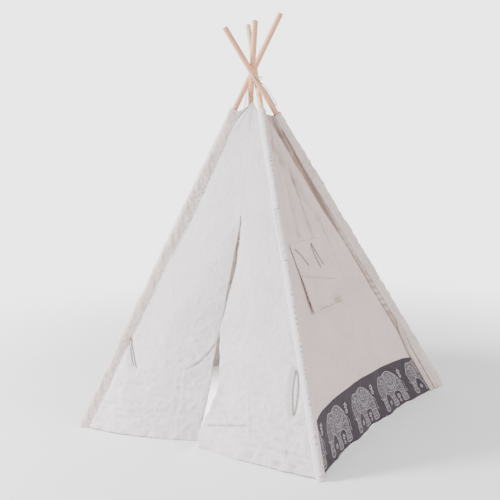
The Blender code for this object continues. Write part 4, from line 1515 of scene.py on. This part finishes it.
@dataclass
class PrintedBand:
    """The dark strip round the foot of a closed wall, with its row of printed elephants."""

    walls: ClosedWalls
    cells: tuple[int, int] = (150, 26)
    height: float = 0.179
    cut_height: float = 0.18
    below_hem: float = 0.0024
    print_margin: float = 0.016
    print_span: tuple[float, float] = (0.004, 0.172)
    lift: float = 0.0013
    cloth: float = 0.0009
    droop: float = 0.004
    droop_reach: float = 0.020
    droop_pitch: float = 0.11
    arch: float = 0.012
    end_drop: float = 0.014
    least_drawn: float = 0.04
    ground_lift: float = 0.00062
    line_lift: float = 0.00078
    dot: float = 0.0022
    elephant_height: float = 0.148
    foot_gap: float = 0.010
    cell: float = 0.008
    stretch: float = 1.12
    first: float = -0.146
    pitch: float = 0.288

    def surface(self, wall: SideWall, along: float, up: float, off: float) -> Vector:
        """A point over the band: metres along the hem and up the cloth, and off its face."""
        slope = (wall.point(0.5, 0.1) - wall.point(0.5, 0.0)).length
        level = 0.1 * up / slope
        share = along / wall.width
        point = self.walls.place(wall, share, level)
        wave = math.sin(math.tau * along / self.droop_pitch)
        droop = self.droop * ease(self.droop_reach, 0.0, up) * wave
        return point + wall.normal(share, level) * (self.lift + off) + UP * droop * 0.3

    def upper_edge(self, share: float) -> float:
        """The band's height above its hem, with the arch of its upper seam."""
        ends = min(share, 1 - share)
        drop = self.end_drop * ease(0.12, 0.0, ends)
        return self.height + self.arch * math.sin(math.pi * share) - drop

    def build(self) -> None:
        """Builds the three bands and their prints."""
        for label, wall in self.walls.by_label():
            width = wall.width
            obj = cloth_piece(
                f"{label}_band_cloth",
                self.cells,
                lambda u, v: self.surface(
                    wall, u * width, self.upper_edge(u) * v - self.below_hem, 0
                ),
                (width, self.height),
                BAND_CLOTH,
                thickness=self.cloth,
            )
            ink = self.print_on(wall, f"{label}_band_print", width)
            flat = (width, self.cut_height)
            stand_for(obj, [f"{label}_band"], flat)
            for piece in (obj, ink):
                self.walls.hang(piece, label)

    def print_on(self, wall: SideWall, name: str, width: float) -> bpy.types.Object:
        """The row of elephants on one band."""
        ground = bmesh.new()
        lines = bmesh.new()
        start = self.first
        while start + self.least_drawn < width:
            self.add_elephant(ground, lines, start)
            start += self.pitch
        pieces = []
        for mesh_data, part, kind, off in (
            (ground, "ground", PRINT_GROUND, self.ground_lift),
            (lines, "lines", PRINT_LINE, self.line_lift),
        ):
            self.trim(mesh_data, width)
            for vert in mesh_data.verts:
                vert.co = self.surface(wall, vert.co.x, vert.co.y, off)
            mesh = bpy.data.meshes.new(f"{name}_{part}")
            mesh_data.to_mesh(mesh)
            mesh_data.free()
            obj = placed(f"{name}_{part}", mesh)
            dress(obj, kind)
            pieces.append(obj)
        return joined(name, pieces)

    def trim(self, mesh: bmesh.types.BMesh, width: float) -> None:
        """Cuts the drawing into small cells that follow the cloth, inside the band."""

        def cut(place: Vector, way: Vector, clear: bool = False) -> None:
            """Cuts along a plane, and clears what is past it."""
            geometry = mesh.verts[:] + mesh.edges[:] + mesh.faces[:]
            bmesh.ops.bisect_plane(
                mesh, geom=geometry, plane_co=place, plane_no=way, clear_outer=clear
            )

        for normal, low, high in (
            (Vector((1, 0, 0)), self.print_margin, width - self.print_margin),
            (Vector((0, 1, 0)), *self.print_span),
        ):
            for at, outer in ((low, -1), (high, 1)):
                cut(normal * at, normal * outer, True)
            count = int((high - low) / self.cell)
            for i in range(1, count):
                cut(normal * lerp(low, high, i / count), normal)

    def add_elephant(
        self, ground: bmesh.types.BMesh, lines: bmesh.types.BMesh, start: float
    ) -> None:
        """Draws one elephant, walking towards the wall's first pole, with blossoms round it."""
        size = self.elephant_height

        def spot(share: Sequence[float]) -> Vector:
            """The place on the flat band of a share of the elephant's height."""
            along = start + share[0] * size * self.stretch
            return Vector((along, self.foot_gap + share[1] * size, 0))

        body = smooth_route([spot(s) for s in (*BODY_SHARES, BODY_SHARES[0])], 0.0045)
        face = ground.faces.new([ground.verts.new(p) for p in body[:-1]])
        if face.calc_area() and face.normal.z < 0:
            face.normal_flip()
        bmesh.ops.triangulate(ground, faces=[face])
        self.add_ribbon(lines, body, Stroke.BOLD)
        for line in LINE_SHARES:
            route = smooth_route([spot(s) for s in line], 0.004)
            self.add_ribbon(lines, route, Stroke.BOLD if len(line) > 4 else Stroke.FINE)
        for share in DOT_SHARES:
            self.add_dot(lines, spot(share), self.dot)
        for x, y, reach in BLOSSOM_SHARES:
            for petal in range(5):
                turn = math.tau * petal / 5
                way = Vector((math.cos(turn), math.sin(turn), 0)) * (reach * size)
                self.add_dot(lines, spot((x, y)) + way, reach * size * 0.52)

    @staticmethod
    def add_ribbon(mesh: bmesh.types.BMesh, route: Sequence[Vector], stroke: Stroke) -> None:
        """A flat line of one width along a route."""
        half = stroke.value / 2
        pairs = []
        for i, point in enumerate(route):
            way = way_at(route, i)
            side = Vector((-way.y, way.x, 0)).normalized() * half
            pairs.append((mesh.verts.new(point - side), mesh.verts.new(point + side)))
        for (a, b), (c, d) in zip(pairs, pairs[1:]):
            mesh.faces.new((a, c, d, b))

    @staticmethod
    def add_dot(mesh: bmesh.types.BMesh, middle: Vector, radius: float) -> None:
        """A small filled round."""
        ring = [
            mesh.verts.new(middle + Vector((math.cos(a), math.sin(a), 0)) * radius)
            for a in (math.tau * i / 8 for i in range(8))
        ]
        mesh.faces.new(ring)


@dataclass
class Cords:
    """The thin twisted cotton cords, and the knots on them."""

    diameter: float = 0.0030
    spacing: float = 0.0012
    sides: int = 10
    lay_length: float = 0.009
    lashing_knot: float = 0.0095
    lashing_knot_reach: float = 0.0045
    tie_knot: float = 0.0062

    def section(self, way: Vector, before: Vector | None) -> tuple[Vector, Vector]:
        """Two unit directions square to a way, turned as little as can be."""
        side = before if before is not None else way.orthogonal()
        side = (side - way * side.dot(way)).normalized()
        return side, way.cross(side)

    def tube(self, name: str, route: Sequence[Vector]) -> bpy.types.Object:
        """A twisted cord along a route: rings of three lobes that turn along it."""
        rings = []
        side: Vector | None = None
        travelled = 0.0
        for i, point in enumerate(route):
            way = way_at(route, i).normalized()
            side, up = self.section(way, side)
            travelled += (point - route[i - 1]).length if i else 0.0
            twist = math.tau * travelled / self.lay_length
            end = min(i, len(route) - 1 - i)
            size = self.diameter / 2 * (0.55 + 0.45 * min(1.0, end / 2))
            ring = []
            for k in range(self.sides):
                angle = math.tau * k / self.sides
                bulge = size * (0.90 + 0.10 * math.cos(3 * (angle - twist)))
                ring.append(point + (side * math.cos(angle) + up * math.sin(angle)) * bulge)
            rings.append(ring)
        return closed_tubes(name, [rings])

    def knot(self, name: str, place: Vector, way: Vector, size: float) -> bpy.types.Object:
        """A small tied knot: three turns of cord pulled tight over each other."""
        turns = []
        for i, (tilt, shift) in enumerate(((0.5, -0.22), (-0.5, 0.22), (1.45, 0.0))):
            deselect()
            bpy.ops.mesh.primitive_torus_add(
                major_radius=size * 0.30,
                minor_radius=size * 0.185,
                major_segments=22,
                minor_segments=9,
            )
            turn = bpy.context.object
            turned = way.to_track_quat("Z", "Y").to_matrix().to_4x4()
            turned = turned @ Matrix.Rotation(tilt, 4, "XY"[i % 2])
            turn.data.transform(Matrix.Translation(place + way * shift * size) @ turned)
            turns.append(turn)
        obj = joined(name, turns)
        obj.data.shade_smooth()
        dress(obj, SHADED_CORD)
        return obj

    def build(self) -> None:
        """Builds, dresses and hangs every cord and knot."""
        for name, points in CORD_ROUTES.items():
            route = smooth_route(points, self.spacing)
            far_end, lay, body = CORD_ENDS[name]
            obj = self.tube(f"{name}_cotton", route)
            dress(obj, SHADED_CORD)
            hang_on(obj, body)
            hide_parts(name)
            knots = self.knots_on(name, route, body)
            log.info("%s: %.0f mm", name, route_length(route) * 1000)

    def knots_on(self, name: str, route: Sequence[Vector], body: str) -> list[bpy.types.Object]:
        """The knots that belong to one cord."""
        knots = []
        if name == "lashing_cord":
            way = (route[0] - route[1]).normalized()
            place = route[0] + way * self.lashing_knot_reach
            knot = self.knot("lashing_knot_cotton", place, way, self.lashing_knot)
            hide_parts("lashing_knot")
            knots.append(knot)
        if name in ("tie_back_left", "window_tie_right"):
            middle = len(route) // 2
            way = (route[middle + 1] - route[middle]).normalized()
            knots.append(self.knot(f"{name}_knot", route[middle], way, self.tie_knot))
        for knot in knots:
            hang_on(knot, body)
        return knots


def spare_cloth(
    name: str,
    cells: tuple[int, int],
    place: Place,
    flat: tuple[float, float],
    kind: Canvas,
    painted_shade: PaintedShade | None = None,
) -> bpy.types.Object:
    """A thin piece of a sleeve's spare cloth; its arguments are cloth_piece's."""
    obj = cloth_piece(name, cells, place, flat, kind, None, painted_shade, SPARE_CLOTH)
    return obj


def on_sleeve(corner: Corner, height: float, angle: float, off: float) -> Vector:
    """A point round a sleeve: angle 0 looks at its partner, and off is from its round."""
    pole = POLES[corner]
    towards = pole.across(pole.partner)
    sideways = pole.axis.cross(towards)
    way = towards * math.cos(angle) + sideways * math.sin(angle)
    return pole.at(height / pole.axis.z) + way * (SIZES.sleeve_radius + off)


@dataclass
class SeamStrip:
    """The front right sleeve's puckered edge, and the right wall's cloth that it is sewn on.

    Their edges and starts are angles round the sleeve, in radians.
    """

    strip_cells: tuple[int, int] = (10, 520)
    wrap_cells: tuple[int, int] = (16, 260)
    span: tuple[float, float] = (0.010, 1.250)
    edge: float = 2.42
    start: float = 1.60
    wrap_start: float = 2.15
    wrap_end: float = 4.40
    wrap_lift: float = 0.0034
    strip_lift: float = 0.0046
    step: tuple[float, float] = (0.690, 0.885)
    pucker_pitch: float = 0.017
    strip_width: float = 0.012
    wrap_width: float = 0.035
    clusters: tuple[tuple[float, float], ...] = (
        (1.06, 0.030), (0.88, 0.012), (0.705, 0.014), (0.585, 0.010), (0.505, 0.032),
        (0.405, 0.016), (0.330, 0.020), (0.235, 0.014), (0.120, 0.020),
    )

    def strip(self, u: float, v: float) -> Vector:
        """A point of the light strip."""
        height = lerp(*self.span, v)
        pucker = self.pucker(height)
        wide = ease(self.step[0] - 0.02, self.step[0], height) * ease(*self.step[::-1], height)
        ragged = 0.5 * ruffle(Vector((0, 0, height)), 34, 8)
        end = self.edge + 0.16 * pucker + 0.22 * ragged + 0.12 * wide
        angle = lerp(self.start, end, u)
        out = self.strip_lift + 0.0012 * (1 + pucker) * u * u
        out += 0.0014 * crease(Vector((angle * 0.02, 0, height)), 60, 4) * u
        out -= 0.0030 * ease(0.25, 0.0, u)
        return on_sleeve(Corner.FRONT_RIGHT, height, angle, out)

    def wrap(self, u: float, v: float) -> Vector:
        """A point of the wall's cloth round the sleeve's side."""
        height = lerp(*self.span, v)
        angle = lerp(self.wrap_start, self.wrap_end, u)
        out = self.wrap_lift + 0.0008 * ruffle(Vector((angle * 0.02, 0, height)), 24, 5)
        return on_sleeve(Corner.FRONT_RIGHT, height, angle, out - 0.002 * ease(0.8, 1.0, u))

    def pucker(self, height: float) -> float:
        """How far the strip's edge is pushed out (1) or drawn in (-1) by its thread."""
        here = Vector((0, 0, height))
        fast = math.sin(math.tau * height / self.pucker_pitch + 9 * ruffle(here, 9, 2))
        near = max(bell(height, *cluster) for cluster in self.clusters)
        return fast * min(1.0, 0.22 + near)

    def painted_shade(self, u: float, v: float) -> float:
        """Painted shade in the dimples where the thread draws the strip's edge in, and along its
        outer rim.
        """
        drawn = ease(0.0, -0.85, self.pucker(lerp(*self.span, v)))
        return -0.80 * drawn * ease(0.45, 1.0, u) - 0.15 * ease(0.93, 1.0, u)

    def build(self) -> None:
        """Builds, dresses and hangs the strip and the wrap."""
        length = self.span[1] - self.span[0]
        cut = (self.strip_width, length)
        strip = ("right_seam_strip", self.strip_cells, self.strip, cut, FRONT_CANVAS, self.painted_shade)
        cut = (self.wrap_width, length)
        wrap = ("right_seam_wrap", self.wrap_cells, self.wrap, cut, WALL_CANVAS)
        for grid in (strip, wrap):
            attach(spare_cloth(*grid), "front_frame")


@dataclass
class SeamPatch:
    """The doubled cloth on the front right sleeve, where two lengths of it are joined."""

    cells: tuple[int, int] = (22, 120)
    span: tuple[float, float] = (0.700, 0.882)
    turn: tuple[float, float] = (1.45, 2.50)
    lift: float = 0.0076
    width: float = 0.03

    def place(self, u: float, v: float) -> Vector:
        """A point of the patch, wrapped round the sleeve."""
        height = lerp(*self.span, v)
        angle = lerp(*self.turn, u) + 0.10 * ruffle(Vector((v, 0, 0)), 14, 3) * (1 - u)
        edge = min(v, 1 - v) * (self.span[1] - self.span[0])
        rim = 0.0012 * math.exp(-edge / 0.004) + 0.0012 * math.exp(-u / 0.06)
        swell = 0.0014 * crease(Vector((angle * 0.02, 0, height)), 40, 6)
        return on_sleeve(Corner.FRONT_RIGHT, height, angle, self.lift + rim + swell)

    def painted_shade(self, u: float, v: float) -> float:
        """The shadow along the patch's left and upper edges."""
        ragged = 0.6 + 0.4 * ruffle(Vector((u, v, 0)), 9, 2)
        left = 0.9 * ease(0.09, 0.0, u) * ease(0.35, 0.65, v)
        return -(left + 0.6 * ease(0.975, 1.0, v)) * ragged

    def build(self) -> None:
        """Builds, dresses and hangs the patch."""
        grid = ("right_seam_patch", self.cells, self.place)
        flat = (self.width, self.span[1] - self.span[0])
        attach(spare_cloth(*grid, flat, PATCH_CANVAS, self.painted_shade), "front_frame")


@dataclass
class FootPleat:
    """The rear right sleeve's spare cloth, pleated over the printed band's end."""

    cells: tuple[int, int] = (56, 90)
    height: float = 0.36
    full: float = 0.17
    width: float = 0.048
    pleats: float = 3.0
    lift: float = 0.0036
    depth: float = 0.0060
    wrinkle: float = 0.0010

    def place(self, walls: ClosedWalls, u: float, v: float) -> Vector:
        """A point of the pleated cloth."""
        wall = walls.right
        level = lerp(0.0, wall.level(self.height), v)
        near, far, height = wall.edges(level)
        span = (far - near).length
        across = self.width * ease(self.height, self.full, height) + 0.004
        seam = across * u
        point = walls.place(wall, 1 - seam / span, level)
        pleat = self.depth * self.fold(u, v) * ease(1.0, 0.85, u) * min(1.0, across / 0.03)
        out = self.lift + pleat + self.wrinkle * crease(point, 30, 3)
        return point + wall.normal(1 - seam / span, level) * out - UP * (0.002 * (1 - v))

    def fold(self, u: float, v: float) -> float:
        """The pleats' shape, from 0 in their folds to 1 on their rounds."""
        lean = u + 0.16 * v + 0.10 * ruffle(Vector((u, v * 2, 0)), 2.5, 5)
        return abs(math.sin(math.pi * self.pleats * lean)) ** 0.6

    def painted_shade(self, u: float, v: float) -> float:
        """The shadow in the pleats' folds and under their free edge."""
        shadow = 0.90 * (1 - self.fold(u, v)) ** 1.4
        shadow += 0.40 * ease(0.92, 1.0, u) * ease(0.75, 0.35, v)
        return -shadow * ease(1.0, 0.6, v)

    def build(self, walls: ClosedWalls) -> None:
        """Builds, dresses and hangs the pleats."""
        obj = spare_cloth(
            "rear_right_foot_pleat",
            self.cells,
            lambda u, v: self.place(walls, 1 - u, v),
            (self.width, self.height),
            SLEEVE_CANVAS,
            lambda u, v: self.painted_shade(1 - u, v),
        )
        walls.hang(obj, "right")


@dataclass
class Stitching:
    """Rows of small thread stitches along the cover's seams."""

    length: float = 0.0034
    pitch: float = 0.0062
    radius: float = 0.00045
    lift: float = 0.0009
    run: float = 1.36
    first_level: float = 0.01
    levels: float = 0.97
    sides: int = 5
    # Along a stitch: the share of its length from its middle, and of its radius
    shape: tuple[tuple[float, float], ...] = (
        (-0.5, 0.35), (-0.25, 1.0), (0.25, 1.0), (0.5, 0.35),
    )

    def row(
        self, name: str, route: Sequence[Vector], normals: Sequence[Vector]
    ) -> bpy.types.Object:
        """One seam's stitches, each a short rounded bar lying on the cloth."""
        bars = []
        angles = [math.tau * k / self.sides for k in range(self.sides)]
        for start, end, normal in zip(route, route[1:], normals):
            way = (end - start).normalized()
            side = normal.cross(way).normalized()
            middle = start + normal * self.radius * 0.4
            rings = []
            for t, size in self.shape:
                centre = middle + way * (t * self.length)
                ways = [side * math.cos(a) + normal * math.sin(a) for a in angles]
                rings.append([centre + out * self.radius * size for out in ways])
            bars.append(rings)
        obj = closed_tubes(name, bars)
        dress(obj, STITCH_THREAD)
        return obj

    def build(self, front: DoorFront, walls: ClosedWalls) -> None:
        """Sews the seams beside the front sleeves and the rear ones."""
        count = int(self.run / self.pitch)
        levels = [self.first_level + self.levels * i / count for i in range(count)]
        out = -front.wall.inward
        for side, label, share in ((-1, "left", 0.014), (1, "right", 1 - 0.016)):
            points = [front.place(side, share, level) + out * self.lift for level in levels]
            obj = self.row(f"front_{label}_stitches", points, [out] * count)
            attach(obj, "front_frame")
        for label, wall, share in (("right", walls.right, 0.988), ("left", walls.left, 0.012)):
            normals = [wall.normal(share, level) for level in levels]
            places = [walls.place(wall, share, level) for level in levels]
            points = [place + normal * self.lift for place, normal in zip(places, normals)]
            obj = self.row(f"{label}_wall_stitches", points, normals)
            ClosedWalls.hang(obj, label)
        log.info("stitches: %d a row", count)


# Stage


@dataclass
class Studio:
    """A plain pale floor, soft lights and the camera at the photograph's place."""

    place: tuple[float, float, float] = (2.0023, -3.4004, 1.4158)
    azimuth: float = 31.566
    pitch: float = 10.597
    roll: float = -1.102
    focal_pixels: float = 962.9
    frame_pixels: float = 500.0
    world_strength: float = 1.1
    seen_strength: float = 3.6
    floor_size: float = 14
    floor_drop: float = 0.0006
    floor_reach: tuple[float, float] = (1.0, 2.8)

    def camera(self) -> None:
        """The camera."""
        data = bpy.data.cameras.new("camera")
        data.sensor_width = 36
        data.lens = self.focal_pixels / self.frame_pixels * data.sensor_width
        obj = placed("camera", data)
        turn, dip, roll = (math.radians(v) for v in (self.azimuth, self.pitch, self.roll))
        forward = Vector(
            (-math.sin(turn) * math.cos(dip), math.cos(turn) * math.cos(dip), -math.sin(dip))
        )
        right = Vector((math.cos(turn), math.sin(turn), 0))
        up = right.cross(forward)
        across = right * math.cos(roll) + up * math.sin(roll)
        upward = up * math.cos(roll) - right * math.sin(roll)
        basis = Matrix((across, upward, -forward)).transposed().to_4x4()
        obj.matrix_world = Matrix.Translation(self.place) @ basis
        bpy.context.scene.camera = obj

    def floor(self) -> None:
        """The floor, which thins out into the backdrop."""
        deselect()
        bpy.ops.mesh.primitive_plane_add(size=self.floor_size, location=(0, 0, -self.floor_drop))
        obj = bpy.context.object
        obj.name = "floor"
        nodes = Nodes("floor_paint")
        here = nodes.coordinates("Object")
        tone = nodes.between(nodes.noise(here, 1.5, 2), (0.90, 0.90, 0.90), (0.93, 0.93, 0.93))
        nodes.finish(tone, Roughness=0.9)
        reach = nodes.add("ShaderNodeVectorMath", operation="LENGTH")
        nodes.link(here, reach.inputs[0])
        low, high = self.floor_reach
        ends = {"from_min": low, "from_max": high, "to_min": 1, "to_max": 0}
        fade = nodes.add("ShaderNodeMapRange", interpolation_type="SMOOTHSTEP", **ends)
        nodes.link(reach.outputs["Value"], fade.inputs["Value"])
        nodes.link(fade.outputs["Result"], nodes.shader.inputs["Alpha"])
        obj.data.materials.append(nodes.material)

    @staticmethod
    def light(name: str, place, aim, size: float, power: float, spread: float = 180) -> None:
        """A large soft lamp, its spread in degrees."""
        data = bpy.data.lights.new(name, "AREA")
        data.shape = "DISK"
        data.size = size
        data.energy = power
        data.spread = math.radians(spread)
        obj = placed(name, data)
        obj.location = place
        obj.visible_camera = False
        way = Vector(aim) - Vector(place)
        obj.rotation_mode = "QUATERNION"
        obj.rotation_quaternion = way.to_track_quat("-Z", "Y")

    def build(self) -> None:
        """Sets the whole stage."""
        self.camera()
        self.floor()
        world = bpy.data.worlds.new("studio")
        world.use_nodes = True
        tree = world.node_tree
        back = tree.nodes["Background"]
        back.inputs["Color"].default_value = (1, 1, 1, 1)
        path = tree.nodes.new("ShaderNodeLightPath")
        strength = tree.nodes.new("ShaderNodeMath")
        strength.operation = "MULTIPLY_ADD"
        strength.inputs[1].default_value = self.seen_strength - self.world_strength
        strength.inputs[2].default_value = self.world_strength
        tree.links.new(path.outputs["Is Camera Ray"], strength.inputs[0])
        tree.links.new(strength.outputs[0], back.inputs["Strength"])
        bpy.context.scene.world = world
        self.light("key", (-3.4, -2.7, 2.4), (0, -0.2, 0.6), 1.4, 520)
        self.light("fill", (3.4, 0.4, 3.0), (0.2, 0, 0.5), 1.6, 70)
        self.light("through_cloth", (0, 0, 0.80), (0, 0, 0), 0.16, 9, spread=80)


def main() -> None:
    """Builds the studio, the cords, the cloth, the print and the stitches, in that order."""
    logging.basicConfig(level=logging.INFO, format="%(message)s")
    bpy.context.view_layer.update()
    Studio().build()
    Cords().build()
    PoleSet().dress()
    walls = ClosedWalls()
    window = WindowFlap(walls.right)
    walls.build(window)
    front = DoorFront()
    front.build()
    Sleeves().build()
    window.build()
    PrintedBand(walls).build()
    SeamStrip().build()
    SeamPatch().build()
    FootPleat().build(walls)
    Stitching().build(front, walls)


if __name__ == "__main__":
    main()
